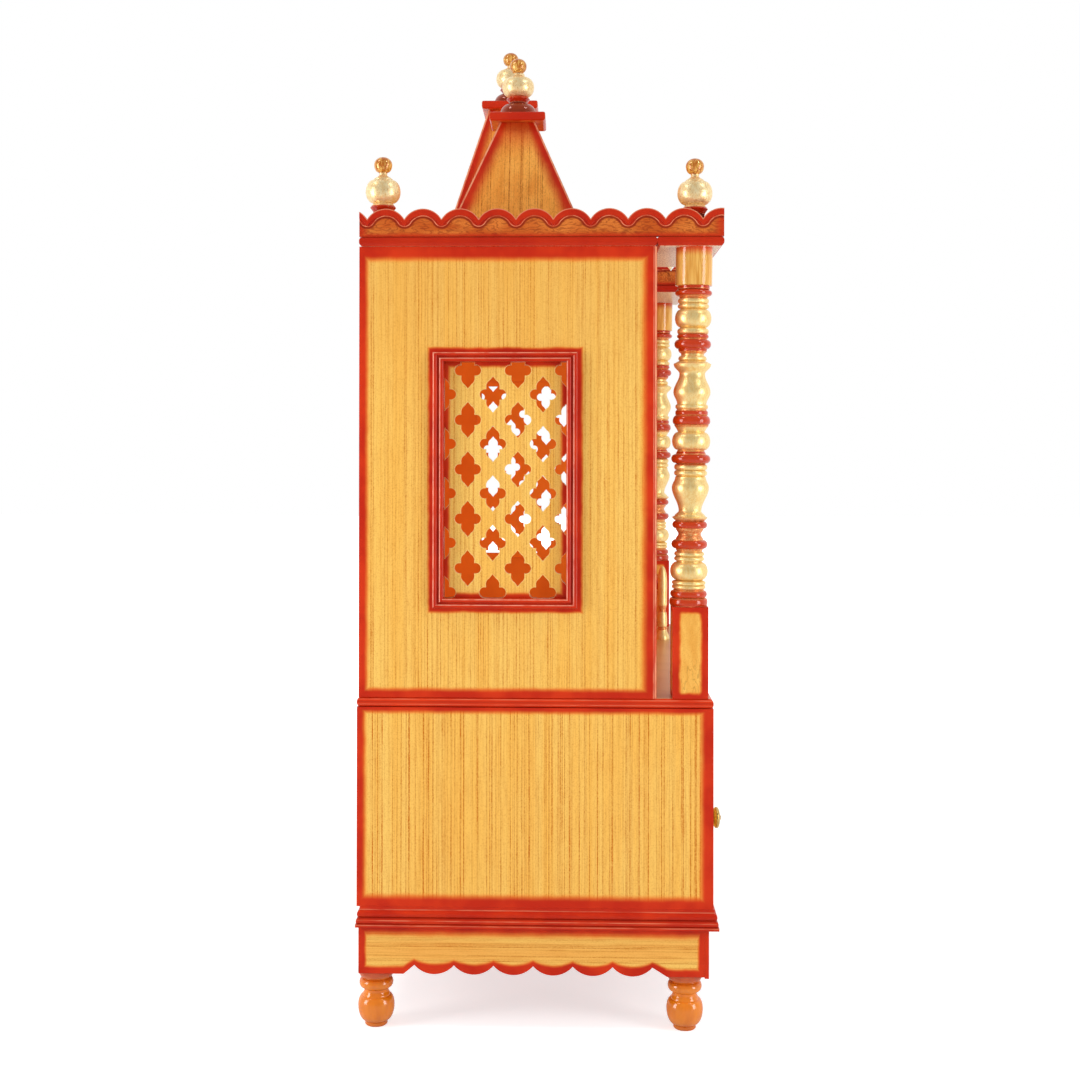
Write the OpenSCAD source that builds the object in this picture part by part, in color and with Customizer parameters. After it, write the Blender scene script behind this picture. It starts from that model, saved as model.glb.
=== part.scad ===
// Home shrine cabinet with three pyramid towers.
// Front faces -Y, width runs along X, +Z is up, and the floor is at z = 0.

/* [Overall] */
// Width of the cabinet and of the shrine over it
shrine_w = 914; // [860:2:960]
// Depth of the cabinet from its back to its front
cabinet_d = 508; // [480:2:540]
// Thickness of the wall boards
board = 16; // [12:1:20]

/* [Heights] */
// Underside of the skirt, which is the height of the feet
skirt_z = 82; // [74:1:90]
// Underside of the base moulding
plinth_z = 150; // [142:1:158]
// Underside of the cabinet's walls
cabinet_z = 179; // [172:1:188]
// Underside of the platform board
platform_z = 465; // [456:1:474]
// Floor of the shrine
floor_z = 479; // [474:1:490]
// Underside of the roof
soffit_z = 1125.5; // [1100:0.5:1140]
// Top of the roof board
deck_z = 1139.5; // [1130:0.5:1155]

/* [Shrine] */
// Depth of the side walls of the shrine
chamber_d = 427; // [400:1:440]
// Width of each roof wing over the porch
wing_w = 262; // [240:2:280]
// How far the roof reaches forward from the back of the cabinet
roof_d = 522; // [515:1:530]
// Side of the square pedestal under each pillar
pedestal_w = 51; // [48:1:58]
// Height of the pedestals
pedestal_h = 131; // [120:1:140]

/* [Jali window] */
// Distance from the back to the middle of the window
window_mid_d = 210; // [200:1:230]
// Width of the pierced field
window_w = 175; // [170:0.5:190]
// Underside of the pierced field
window_z = 621.5; // [615:0.5:630]
// Height of the pierced field
window_h = 338.5; // [330:0.5:345]
// Width of the moulded frame at the sides of the window
frame_stile_w = 16.5; // [12:0.5:20]
// Width of the moulded frame above and below the window
frame_rail_w = 14; // [12:0.5:20]
// Thickness of the pierced board
jali_t = 8; // [6:1:10]

/* [Towers] */
// Side of the square base of the outer towers
side_tower_base = 226; // [210:2:230]
// Side of the square base of the middle tower
centre_tower_base = 238; // [220:2:244]
// Underside of the cap on the outer towers
side_cap_z = 1345; // [1325:1:1365]
// Underside of the cap on the middle tower
centre_cap_z = 1414.5; // [1395:0.5:1435]

/* [Drawers] */
// Gap between a drawer and the cabinet around it
drawer_gap = 5; // [5:0.5:8]
// Underside of the fixed rail over the drawers
rail_z = 365; // [345:1:395]
// How far a knob stands out from its drawer
knob_reach = 26; // [22:1:30]

/* [Hidden] */
// Moulding projections past the cabinet's walls
plinth_back = 4;
plinth_front = 8;
plinth_side = 6;
roof_side = 4;
half_w = shrine_w / 2;
// The box of the whole object is centred on the origin, from the plinth's back to the knobs
back_y = (cabinet_d + knob_reach + plinth_back) / 2 - plinth_back;
// y of a plane at distance d in front of the cabinet's back
function at_depth(d) = back_y - d;
front_y = at_depth(cabinet_d);
seam = 0.01;
sides = [-1, 1];

// ---- Colours -------------------------------------------------------------------------------

veneer = [0.95, 0.69, 0.31];
red_paint = [0.75, 0.18, 0.07];
gold_paint = [0.88, 0.75, 0.43];
amber = [0.88, 0.50, 0.15];
brass = [0.80, 0.65, 0.35];

// ---- Turned work ---------------------------------------------------------------------------

// A turning is a list of stations [height, radius, shape, bulge]. The shape says how the outline
// goes on to the next station: a straight line, a bead that bulges by `bulge`, a smooth ogee,
// a quarter round that ends upright (SWELL) or one that starts upright (FALL).
LINE = 0;
BEAD = 1;
OGEE = 2;
SWELL = 3;
FALL = 4;
turn_steps = 8;

function bead_point(a, b, angle) =
    let (t = (1 - cos(angle)) / 2)
    [a[1] + (b[1] - a[1]) * t + a[3] * sin(angle), a[0] + (b[0] - a[0]) * t];

function ogee_point(a, b, t) =
    [a[1] + (b[1] - a[1]) * (1 - cos(180 * t)) / 2, a[0] + (b[0] - a[0]) * t];

function swell_point(a, b, angle) =
    [a[1] + (b[1] - a[1]) * sin(angle), a[0] + (b[0] - a[0]) * (1 - cos(angle))];

function fall_point(a, b, angle) =
    [a[1] + (b[1] - a[1]) * (1 - cos(angle)), a[0] + (b[0] - a[0]) * sin(angle)];

function between(a, b) =
    a[2] == BEAD ? [for (i = [1:turn_steps - 1]) bead_point(a, b, 180 * i / turn_steps)]
    : a[2] == OGEE ? [for (i = [1:turn_steps - 1]) ogee_point(a, b, i / turn_steps)]
    : a[2] == SWELL ? [for (i = [1:turn_steps - 1]) swell_point(a, b, 90 * i / turn_steps)]
    : a[2] == FALL ? [for (i = [1:turn_steps - 1]) fall_point(a, b, 90 * i / turn_steps)]
    : [];

function outline(stations) = concat(
    [[0, stations[0][0]]],
    [for (i = [0:len(stations) - 1])
        for (p = concat([[stations[i][1], stations[i][0]]],
                        i < len(stations) - 1 ? between(stations[i], stations[i + 1]) : []))
            p],
    [[0, stations[len(stations) - 1][0]]]);

module turned(stations) {
    rotate_extrude($fn = 48) polygon(outline(stations));
}

// ---- Mouldings -----------------------------------------------------------------------------

// Section of a flat board with rounded edges, centred across its width
module edge_section(width, height, edge) {
    translate([-width / 2 + edge, 0])
        square([width - 2 * edge, height]);
    for (side = sides)
        translate([side * (width / 2 - edge), edge])
            circle(r = edge, $fn = 32);
    if (height > 2 * edge)
        for (side = sides)
            translate([side * (width / 2 - edge), height - edge])
                circle(r = edge, $fn = 32);
    translate([-width / 2, edge])
        square([width, max(height - 2 * edge, seam)]);
}

module along_x(length) {
    translate([-length / 2, 0, 0])
        rotate([90, 0, 90])
            linear_extrude(length)
                children();
}

module along_y(length) {
    translate([0, length / 2, 0])
        rotate([90, 0, 0])
            linear_extrude(length)
                children();
}

module rounded_slab(width, depth, height, edge) {
    intersection() {
        along_x(width) edge_section(depth, height, edge);
        along_y(depth) edge_section(width, height, edge);
    }
}

// ---- Scalloped boards ----------------------------------------------------------------------

// Radius of a round that spans `pitch` with a rise of `rise`
function scallop_r(pitch, rise) = (pow(pitch / 2, 2) + pow(rise, 2)) / (2 * rise);

crest_pitch = 53.4;
crest_rise = 15;
crest_z = 1179.5;
cornice_t = 12;

// How far the rounds of a scalloped board reach past the sharp points between them
overlap = 6;

// Outline of a cornice board: a row of round crests with sharp valleys between them
module crest_outline(length, start) {
    round_r = scallop_r(crest_pitch, crest_rise);
    height = crest_z - deck_z;
    intersection() {
        square([length, height + overlap]);
        union() {
            square([length, height - crest_rise - overlap]);
            for (x = [start - crest_pitch / 2:crest_pitch:length + crest_pitch / 2])
                translate([x, height - round_r])
                    circle(r = round_r, $fn = 96);
        }
    }
}

skirt_pitch = 56.8;
skirt_rise = 13;
skirt_t = 18;
// Length of the slope between a straight end of the skirt and its first sharp point, and of
// the longer one at the front end of the side boards
skirt_slope = 15.5;
front_slope = 21;

// Outline of a skirt board: straight at both ends, with round drops between. The first sharp
// point is at distance `leg` from the start. `last_slope` is the length of the slope at its end.
module skirt_outline(length, height, leg, drops, last_slope) {
    round_r = scallop_r(skirt_pitch, skirt_rise);
    last_leg = length - leg - drops * skirt_pitch;
    intersection() {
        translate([0, -overlap])
            square([length, height + overlap]);
        union() {
            translate([0, skirt_rise + overlap])
                square([length, height]);
            skirt_leg(leg, height, skirt_slope);
            translate([length, 0])
                mirror([1, 0])
                    skirt_leg(last_leg, height, last_slope);
            for (i = [0:drops - 1])
                translate([leg + skirt_pitch * (i + 0.5), round_r])
                    circle(r = round_r, $fn = 96);
        }
    }
}

// A straight end of a skirt board, with a slope that runs a little past the first sharp point
module skirt_leg(leg, height, slope) {
    past = leg + 2;
    past_z = skirt_rise * (past - leg + slope) / slope;
    polygon([[0, 0], [leg - slope, 0], [past, past_z], [past, height], [0, height]]);
}

// ---- Feet and base -------------------------------------------------------------------------

foot_turning = [
    [0, 15, LINE], [1.5, 16.3, LINE], [5.5, 16.4, LINE], [6.5, 15.6, SWELL],
    [28.5, 26.4, FALL], [43, 20.3, OGEE], [50, 17.4, LINE], [52.5, 17.4, LINE],
    [54.5, 19.8, BEAD, 4.6], [68, 20.2, LINE], [70, 22.5, LINE],
    [76, 26, LINE], [78, 26.4, LINE], [skirt_z, 26.4, LINE]];
foot_inset_x = 30;
foot_depths = [22.5, 469.5];

module feet() {
    color(amber)
        for (side = sides, d = foot_depths)
            translate([side * (half_w - foot_inset_x), at_depth(d), 0])
                turned(foot_turning);
}

skirt_d = 502;
skirt_inset = 2;
side_skirt_leg = 80.6;
side_skirt_drops = 6;
end_skirt_drops = 13;
// The front board of the skirt is a thin facing over the ends of the side boards, and it hangs
// a little lower
facing_t = 6;
facing_drop = 2;

module skirt_board(length, height, thickness, leg, drops, last_slope) {
    rotate([90, 0, 0])
        linear_extrude(thickness)
            skirt_outline(length, height, leg, drops, last_slope);
}

module skirt_side(side) {
    length = skirt_d - facing_t;
    x = side * (half_w - skirt_inset) + (side > 0 ? 0 : skirt_t);
    color(veneer)
        translate([x, back_y, skirt_z])
            rotate([0, 0, -90])
                skirt_board(length, plinth_z - skirt_z, skirt_t, side_skirt_leg,
                            side_skirt_drops, front_slope);
}

module skirt_end(length, z, d, thickness) {
    color(veneer)
        translate([-length / 2, at_depth(d), z])
            skirt_board(length, plinth_z - z, thickness,
                        (length - end_skirt_drops * skirt_pitch) / 2, end_skirt_drops,
                        skirt_slope);
}

module skirt_left() { skirt_side(-1); }
module skirt_right() { skirt_side(1); }

module skirt_back() {
    skirt_end(shrine_w - 2 * (skirt_inset + skirt_t), skirt_z, 0, skirt_t);
}

module skirt_front() {
    skirt_end(shrine_w - 2 * skirt_inset, skirt_z - facing_drop, skirt_d - facing_t, facing_t);
}

plinth_h = cabinet_z - plinth_z;

// Outline of the plinth's moulded edge: [reach past the plain board, height], from the bottom up
plinth_edge = concat(
    [[0, 0], [6, 0], [6, 4]],
    [for (a = [0:15:180]) [3.5 + 1.5 * sin(a), 5 + 7 * (1 - cos(a)) / 2]],
    [[3, 13]],
    [for (a = [0:15:180]) [1 + 2.5 * sin(a), 14 + 9 * (1 - cos(a)) / 2]],
    [[0, 24], [0, plinth_h]]);

// Section of a board whose two edges are moulded
module moulded_section(width, edge) {
    polygon(concat(
        [for (p = edge) [width / 2 + p[0], p[1]]],
        [for (i = [len(edge) - 1:-1:0]) [-width / 2 - edge[i][0], edge[i][1]]]));
}

module plinth() {
    reach = plinth_edge[1][0];
    width = shrine_w + 2 * (plinth_side - reach);
    depth = cabinet_d + plinth_back + plinth_front - 2 * reach;
    color(red_paint)
        translate([0, at_depth((cabinet_d + plinth_front - plinth_back) / 2), plinth_z])
            intersection() {
                along_x(width + 2 * reach) moulded_section(depth, plinth_edge);
                along_y(depth + 2 * reach) moulded_section(width, plinth_edge);
            }
}

// ---- Cabinet -------------------------------------------------------------------------------

cabinet_h = platform_z - cabinet_z;
back_t = 8;
// How far the cabinet and the platform reach back past the shrine over them
cabinet_reach = 2.5;
cabinet_full_d = cabinet_d + cabinet_reach;

module cabinet_side(side) {
    color(veneer)
        translate([side > 0 ? half_w - board : -half_w, front_y, cabinet_z])
            cube([board, cabinet_full_d, cabinet_h]);
}

module cabinet_left() { cabinet_side(-1); }
module cabinet_right() { cabinet_side(1); }

module cabinet_back() {
    color(veneer)
        translate([-half_w + board, at_depth(back_t - cabinet_reach), cabinet_z])
            cube([shrine_w - 2 * board, back_t, cabinet_h]);
}

module cabinet_front_rail() {
    color(veneer)
        translate([-half_w + board, front_y, rail_z])
            cube([shrine_w - 2 * board, board, platform_z - rail_z]);
}

bay_w = (shrine_w - 4 * board) / 3;
// Middle of a drawer bay, for -1, 0 or 1
function bay_x(bay) = bay * (bay_w + board);

module cabinet_dividers() {
    color(veneer)
        for (side = sides)
            translate([side * (bay_w + board) / 2 - board / 2, front_y + board, cabinet_z])
                cube([board, cabinet_full_d - board - back_t, cabinet_h]);
}

// ---- Drawers -------------------------------------------------------------------------------

drawer_side_t = 12;
drawer_back_d = 60;
drawer_w = bay_w - 2 * drawer_gap;
drawer_z = cabinet_z + drawer_gap;
front_h = rail_z - cabinet_z - 2 * drawer_gap;
box_h = 140;
runner_h = 12;
runner_z = drawer_z + 70;
runner_reach = 9;
runner_play = 1;
runner_back_d = 20;

// Distance from the back of a drawer's front board to the front end of its runners
runner_front_gap = 6;

module drawer_runners() {
    length = cabinet_d - board - runner_front_gap - runner_back_d;
    color("tan")
        for (bay = [-1:1], side = sides)
            translate([bay_x(bay) + side * (bay_w - runner_reach) / 2 - runner_reach / 2,
                       front_y + board + runner_front_gap, runner_z])
                cube([runner_reach, length, runner_h]);
}

module drawer(bay) {
    box_d = cabinet_d - drawer_back_d;
    bottom_t = 8;
    groove_w = runner_reach - drawer_gap + runner_play;
    color(veneer)
        translate([bay_x(bay), front_y, drawer_z])
            difference() {
                union() {
                    translate([-drawer_w / 2, 0, 0])
                        cube([drawer_w, board, front_h]);
                    translate([-drawer_w / 2, 0, 0])
                        cube([drawer_w, box_d, box_h]);
                }
                translate([-drawer_w / 2 + drawer_side_t, board, bottom_t])
                    cube([drawer_w - 2 * drawer_side_t, box_d - board - drawer_side_t, box_h]);
                for (side = sides)
                    translate([side * (drawer_w - groove_w) / 2 - groove_w / 2 - (side < 0 ? 1 : 0),
                               board, runner_z - drawer_z - runner_play])
                        cube([groove_w + 1, box_d, runner_h + 2 * runner_play]);
            }
}

module drawer_left() { drawer(-1); }
module drawer_middle() { drawer(0); }
module drawer_right() { drawer(1); }

knob_turning = [
    [0, 14, LINE], [2, 14, BEAD, 1], [5, 9, OGEE], [10, 6, LINE], [12, 6, OGEE],
    [16, 14, BEAD, 2], [22, 14, OGEE], [knob_reach, 3, LINE]];

module knob(bay) {
    color(brass)
        translate([bay_x(bay), front_y, drawer_z + front_h / 2])
            rotate([90, 0, 0])
                turned(knob_turning);
}

module knob_left() { knob(-1); }
module knob_middle() { knob(0); }
module knob_right() { knob(1); }

// ---- Platform and shrine walls -------------------------------------------------------------

module platform() {
    color(red_paint)
        translate([0, at_depth((cabinet_d - cabinet_reach) / 2), platform_z])
            rounded_slab(shrine_w + 2, cabinet_full_d, floor_z - platform_z, 6);
}

chamber_h = soffit_z - floor_z;

wall_round = 6;

// Plan of a side wall of the shrine, with its front edge rounded
module wall_plan() {
    translate([-board / 2, wall_round])
        square([board, chamber_d - wall_round]);
    translate([wall_round - board / 2, 0])
        square([board - 2 * wall_round, 2 * wall_round]);
    for (side = sides)
        translate([side * (board / 2 - wall_round), wall_round])
            circle(r = wall_round, $fn = 32);
}

module chamber_side(side) {
    color(veneer)
        difference() {
            translate([side * (half_w - board / 2), at_depth(chamber_d), floor_z])
                linear_extrude(chamber_h)
                    wall_plan();
            translate([side * half_w - board - 1, at_depth(window_mid_d + window_w / 2 + jali_margin),
                       window_z - jali_margin])
                cube([2 * board + 2, window_w + 2 * jali_margin, window_h + 2 * jali_margin]);
        }
}

module chamber_left() { chamber_side(-1); }
module chamber_right() { chamber_side(1); }

module chamber_back() {
    color(veneer)
        translate([-half_w + board, at_depth(back_t), floor_z])
            cube([shrine_w - 2 * board, back_t, chamber_h]);
}

// ---- Jali windows --------------------------------------------------------------------------

frame_t = 9;
// How far the pierced board reaches behind its frame, all round
jali_margin = 9;
groove_t = 5;
ridge_h = 3.4;

// Outline of one round ridge of the frame's moulding, from right to left
function ridge(x, reach) =
    [for (a = [0:22.5:180]) [x + reach * cos(a), frame_t - ridge_h + ridge_h * sin(a)]];

// Section of the frame's moulding, across its width: two round ridges with a groove between
module ridge_section(width) {
    reach = width * 0.22;
    polygon(concat([[0, 0], [width, 0]], ridge(width - reach, reach),
                   [[width - 2 * reach, groove_t], [2 * reach, groove_t]],
                   ridge(reach, reach)));
}

// One side of the frame, mitred at both ends, with its outer edge along +X from the origin
module frame_side(length, width, mitre) {
    intersection() {
        rotate([90, 0, 90])
            linear_extrude(length)
                ridge_section(width);
        linear_extrude(frame_t + 1)
            polygon([[0, 0], [length, 0], [length - mitre, width], [mitre, width]]);
    }
}

module window_frame(side) {
    outer_w = window_w + 2 * frame_stile_w;
    outer_h = window_h + 2 * frame_rail_w;
    color(red_paint)
        translate([side * half_w, at_depth(window_mid_d), window_z + window_h / 2])
            rotate([0, 0, side * 90])
                rotate([90, 0, 0])
                    for (turn = [0, 180])
                        rotate([0, 0, turn]) {
                            translate([-outer_w / 2, -outer_h / 2, 0])
                                frame_side(outer_w, frame_rail_w, frame_stile_w);
                            translate([outer_w / 2, -outer_h / 2, 0])
                                rotate([0, 0, 90])
                                    frame_side(outer_h, frame_stile_w, frame_rail_w);
                        }
}

module window_frame_left() { window_frame(-1); }
module window_frame_right() { window_frame(1); }

jali_columns = 5;
jali_pitch_x = 36;
jali_pitch_z = 71;
// Height of the lowest flowers over the bottom of the window, in even and odd columns
low_row_z = 8;
high_row_z = 42.5;
// Round lobes at the sides of a flower
side_lobe_r = 7.5;
side_lobe_x = 11.5;
// Wider lobes above and below, each drawn out to a point
end_lobe_r = 9.8;
end_lobe_z = 11.5;
point_w = 16.4;
point_foot_z = 16;
point_z = 26;
flower_w = 19.2;
// A flower that would reach less than this into the window from above is left out
least_cut = 3;

// One pierced flower
module flower() {
    square([flower_w, 2 * end_lobe_z], center = true);
    for (side = sides) {
        translate([side * side_lobe_x, 0])
            circle(r = side_lobe_r, $fn = 32);
        translate([0, side * end_lobe_z])
            circle(r = end_lobe_r, $fn = 32);
        polygon([[-point_w / 2, side * point_foot_z], [0, side * point_z],
                 [point_w / 2, side * point_foot_z]]);
    }
}

// How far the flowers of a window are moved back and up. The board on the right was cut from
// another place in the pattern.
function pattern_shift(side) = side > 0 ? [10, -10] : [0, 0];

// All the holes of one window, cut off by the edge of its frame
module jali_holes(shift) {
    intersection() {
        translate([-window_w / 2, 0])
            square([window_w, window_h]);
        for (column = [0:jali_columns], row = [0:5]) {
            z = row * jali_pitch_z + (column % 2 == 0 ? low_row_z : high_row_z) + shift[1];
            if (z < window_h + point_z - least_cut)
                translate([(column - jali_columns / 2) * jali_pitch_x + shift[0], z])
                    flower();
        }
    }
}

module jali(side) {
    color(veneer)
        translate([side * (half_w - board / 2), at_depth(window_mid_d), window_z])
            rotate([0, 0, side * 90])
                rotate([90, 0, 0])
                    translate([0, 0, -jali_t / 2])
                        linear_extrude(jali_t)
                            difference() {
                                translate([-window_w / 2 - jali_margin, -jali_margin])
                                    square([window_w + 2 * jali_margin, window_h + 2 * jali_margin]);
                                jali_holes(pattern_shift(side));
                            }
}

module jali_left() { jali(-1); }
module jali_right() { jali(1); }

// ---- Pillars and porch ---------------------------------------------------------------------

pedestal_d = 475;
pedestal_inset = 1;
pillar_x = half_w - pedestal_inset - pedestal_w / 2;
pillar_z = floor_z + pedestal_h;
// Distance of the foot of the pillars from the back
pillar_d = 473.8;
// The pillars lean forward by this angle, from their feet
pillar_lean = 0.88;

module pedestals() {
    color(veneer)
        for (side = sides)
            translate([side * pillar_x - pedestal_w / 2, at_depth(pedestal_d) - pedestal_w / 2,
                       floor_z])
                cube([pedestal_w, pedestal_w, pedestal_h]);
}

// Each end of a pillar is turned a little long, and cut level where it stands and where it
// meets the roof
pillar_spare = 3;

pillar_turning = [
    [-pillar_spare, 25.5, LINE], [0, 25.5, BEAD, 2], [11, 25.5, LINE],
    [12, 22.5, BEAD, 4], [22, 22.5, LINE],
    [24, 21, BEAD, 3.5], [30, 21, BEAD, 3.5], [36, 21, LINE],
    [37, 18, BEAD, 9.2], [63, 18, LINE],
    [64, 18, BEAD, 3.7], [71, 18, BEAD, 3.7], [78, 18, LINE],
    [82, 20, BEAD, 6], [95, 20, OGEE],
    [103, 16.3, OGEE], [111, 20, BEAD, 5.2], [122, 20, LINE],
    [123, 22, LINE], [127, 26, LINE], [129, 22, OGEE],
    [136.3, 16.2, OGEE], [170.3, 26.7, OGEE], [185, 22, LINE],
    [187, 20, BEAD, 3.8], [195, 20, BEAD, 3.8], [204, 20, LINE],
    [205, 22, BEAD, 6.2], [218, 22, LINE],
    [224, 19, BEAD, 8.5], [250, 19, LINE],
    [254, 21, LINE], [260, 25, LINE],
    [261, 24, BEAD, 4], [274, 22, BEAD, 1.5], [281, 22, LINE],
    [283, 21, BEAD, 2.5], [290, 21, OGEE],
    [307.5, 26.7, OGEE], [334, 18.3, OGEE],
    [346, 26.5, LINE], [348, 27.2, LINE], [350, 24, LINE],
    [353, 18, BEAD, 3], [360, 16.5, LINE], [363, 16.5, LINE],
    [366, 20, LINE], [370, 21, BEAD, 5.4], [383, 21, LINE],
    [385, 20, BEAD, 2.8], [391, 20, BEAD, 2.6], [399, 20, LINE],
    [401, 18, BEAD, 8.2], [427, 18, LINE],
    [428, 19, BEAD, 3.6], [435, 19, BEAD, 3.2], [443, 19, LINE],
    [446, 21, BEAD, 5.7], [455, 21, LINE],
    [456, 23, LINE], [460, 23, LINE], [461, 26.4, LINE],
    [soffit_z - pillar_z + pillar_spare, 26.4, LINE]];

module pillar(side) {
    cut_w = 2 * pedestal_w;
    color(gold_paint)
        translate([side * pillar_x, at_depth(pillar_d), pillar_z])
            intersection() {
                rotate([pillar_lean, 0, 0])
                    turned(pillar_turning);
                translate([-cut_w / 2, -cut_w / 2, 0])
                    cube([cut_w, cut_w, soffit_z - pillar_z]);
            }
}

module pillar_left() { pillar(-1); }
module pillar_right() { pillar(1); }

newel_turning = [
    [0, 13, LINE], [3, 13, OGEE], [19, 8, BEAD, 1.5], [23, 7.5, BEAD, 1.5], [52, 6.5, LINE],
    [54, 6, OGEE], [62, 7, BEAD, 1.6], [125, 6.4, BEAD, 0.8], [133, 4, LINE], [136, 1, LINE]];
newel_x = half_w - wing_w + 12;
newel_r = 8.5;
rail_top = 105;
rail_t = 14;
rail_w = 22;

module newels() {
    color(gold_paint)
        for (side = sides)
            translate([side * newel_x, at_depth(pedestal_d), floor_z])
                turned(newel_turning);
}

spindle_turning = [
    [0, 6, LINE], [6, 6, OGEE], [14, 3.5, BEAD, 1.5], [18, 3.5, OGEE],
    [45, 6, OGEE], [74, 3.5, BEAD, 1.5], [78, 3.5, OGEE], [rail_top - rail_t + seam, 6, LINE]];
spindles = 4;

module balustrade(side) {
    outer_x = pillar_x - pedestal_w / 2;
    inner_x = newel_x + newel_r;
    span = outer_x - inner_x;
    color(gold_paint) {
        translate([side * (outer_x + inner_x) / 2, at_depth(pedestal_d), floor_z + rail_top - rail_t])
            along_x(span)
                edge_section(rail_w, rail_t, 5);
        for (i = [1:spindles])
            translate([side * (inner_x + span * i / (spindles + 1)), at_depth(pedestal_d), floor_z])
                turned(spindle_turning);
    }
}

module balustrade_left() { balustrade(-1); }
module balustrade_right() { balustrade(1); }

// ---- Roof ----------------------------------------------------------------------------------

roof_h = deck_z - soffit_z;
roof_edge = 6;
wing_d = roof_d - chamber_d;

module roof_main() {
    color(red_paint)
        translate([0, at_depth(chamber_d / 2), soffit_z])
            rounded_slab(shrine_w + 2 * roof_side, chamber_d, roof_h, roof_edge);
}

module roof_wings() {
    width = wing_w + roof_side;
    color(red_paint)
        for (side = sides)
            translate([side * (half_w + roof_side - width / 2),
                       at_depth(chamber_d + wing_d / 2), soffit_z])
                rounded_slab(width, wing_d, roof_h, roof_edge);
}

cornice_x = half_w + roof_side - 2;
cornice_front_d = roof_d;

rim_h = 10;
rim_t = 1.5;

// A cornice board lying along +X with its outer face towards -Y, and a raised rim along its crests
module crest_board(length, start) {
    rotate([90, 0, 0]) {
        linear_extrude(cornice_t - rim_t)
            crest_outline(length, start);
        translate([0, 0, cornice_t - rim_t - seam])
            linear_extrude(rim_t + seam)
                difference() {
                    crest_outline(length, start);
                    translate([0, -rim_h])
                        crest_outline(length, start);
                }
    }
}

// The same board along the depth of the roof, from its back end to the front, facing -X
module crest_board_side(length, start) {
    rotate([0, 0, -90])
        translate([0, cornice_t, 0])
            crest_board(length, start);
}

// Distance from the end of a board to its first valley that centres the crests on the board
function centred(length) = (length % crest_pitch) / 2;

module mirrored_for(side) {
    mirror([side > 0 ? 1 : 0, 0, 0])
        children();
}

side_crest_start = 11.4;

module cornice_side(side) {
    color(veneer)
        mirrored_for(side)
            translate([-cornice_x, at_depth(0), deck_z])
                crest_board_side(cornice_front_d, side_crest_start);
}

module cornice_left() { cornice_side(-1); }
module cornice_right() { cornice_side(1); }

inner_w = 2 * (cornice_x - cornice_t);
wing_inner_x = half_w - wing_w;
wing_front_w = cornice_x - cornice_t - wing_inner_x;

// How far the top of the plain board at the back is under the valleys of the others
back_board_drop = 3;

module cornice_back() {
    color(veneer)
        translate([-inner_w / 2, at_depth(cornice_t), deck_z])
            cube([inner_w, cornice_t, crest_z - crest_rise - back_board_drop - deck_z]);
}

module cornice_front() {
    length = 2 * wing_inner_x;
    color(veneer)
        translate([-length / 2, at_depth(chamber_d - 2 - cornice_t), deck_z])
            crest_board(length, centred(length));
}

module cornice_wings() {
    inner_length = cornice_front_d - chamber_d;
    color(veneer)
        for (side = sides)
            mirrored_for(side) {
                translate([-cornice_x + cornice_t, at_depth(cornice_front_d - cornice_t), deck_z])
                    crest_board(wing_front_w, centred(wing_front_w));
                translate([-wing_inner_x, at_depth(chamber_d - cornice_t), deck_z])
                    mirror([1, 0, 0])
                        crest_board_side(inner_length, centred(inner_length));
            }
}

// ---- Towers --------------------------------------------------------------------------------

side_tower_x = (side_tower_base + centre_tower_base) / 2;
side_tower_d = 220;
centre_tower_d = 199;
side_tower_top = 55;
centre_tower_top = 73;
cap_h = 14;
side_cap_w = 87;
centre_cap_w = 95;

module taper_section(base, top, height) {
    polygon([[-base / 2, 0], [base / 2, 0], [top / 2, height], [-top / 2, height]]);
}

module pyramid(base, top, height) {
    intersection() {
        along_x(base) taper_section(base, top, height);
        along_y(base) taper_section(base, top, height);
    }
}

module side_tower(side) {
    color(veneer)
        translate([side * side_tower_x, at_depth(side_tower_d), deck_z])
            pyramid(side_tower_base, side_tower_top, side_cap_z - deck_z);
}

module tower_left() { side_tower(-1); }
module tower_right() { side_tower(1); }

module tower_centre() {
    color(veneer)
        translate([0, at_depth(centre_tower_d), deck_z])
            pyramid(centre_tower_base, centre_tower_top, centre_cap_z - deck_z);
}

module tower_caps() {
    color(red_paint) {
        for (side = sides)
            translate([side * side_tower_x, at_depth(side_tower_d), side_cap_z])
                rounded_slab(side_cap_w, side_cap_w, cap_h, 4);
        translate([0, at_depth(centre_tower_d), centre_cap_z])
            rounded_slab(centre_cap_w, centre_cap_w, cap_h, 4);
    }
}

finial_turning = [
    [0, 28, LINE], [6, 28, FALL], [20, 13, LINE], [21.5, 13, LINE],
    [27.5, 18.6, LINE], [31.5, 15.4, LINE], [31.6, 13.5, SWELL],
    [47, 25.2, FALL], [62, 12.5, OGEE], [67, 6, LINE], [70, 6.2, SWELL],
    [80.5, 13.3, FALL], [92, 1, LINE]];

corner_finial_foot = [[0, 17, LINE], [5, 17, FALL], [12, 12.5, LINE], [22, 11.5, LINE]];
corner_finial_head = [
    [40.7, 14.6, LINE], [46.5, 18.9, LINE], [49, 17.2, LINE], [53.3, 13.6, SWELL],
    [69.4, 25.3, FALL], [86.5, 14.5, OGEE], [95, 5.8, LINE], [98, 6.2, SWELL],
    [109.2, 13.2, FALL], [120.4, 1, LINE]];

// Turning of a corner finial whose stem is shorter than the longest by `drop`
function corner_finial_turning(drop) = concat(
    corner_finial_foot,
    [for (station = corner_finial_head) [station[0] - drop, station[1], station[2]]]);

module tower_finials() {
    color(gold_paint) {
        for (side = sides)
            translate([side * side_tower_x, at_depth(side_tower_d), side_cap_z + cap_h])
                turned(finial_turning);
        translate([0, at_depth(centre_tower_d), centre_cap_z + cap_h])
            turned(finial_turning);
    }
}

finial_inset_x = 33;
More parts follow.
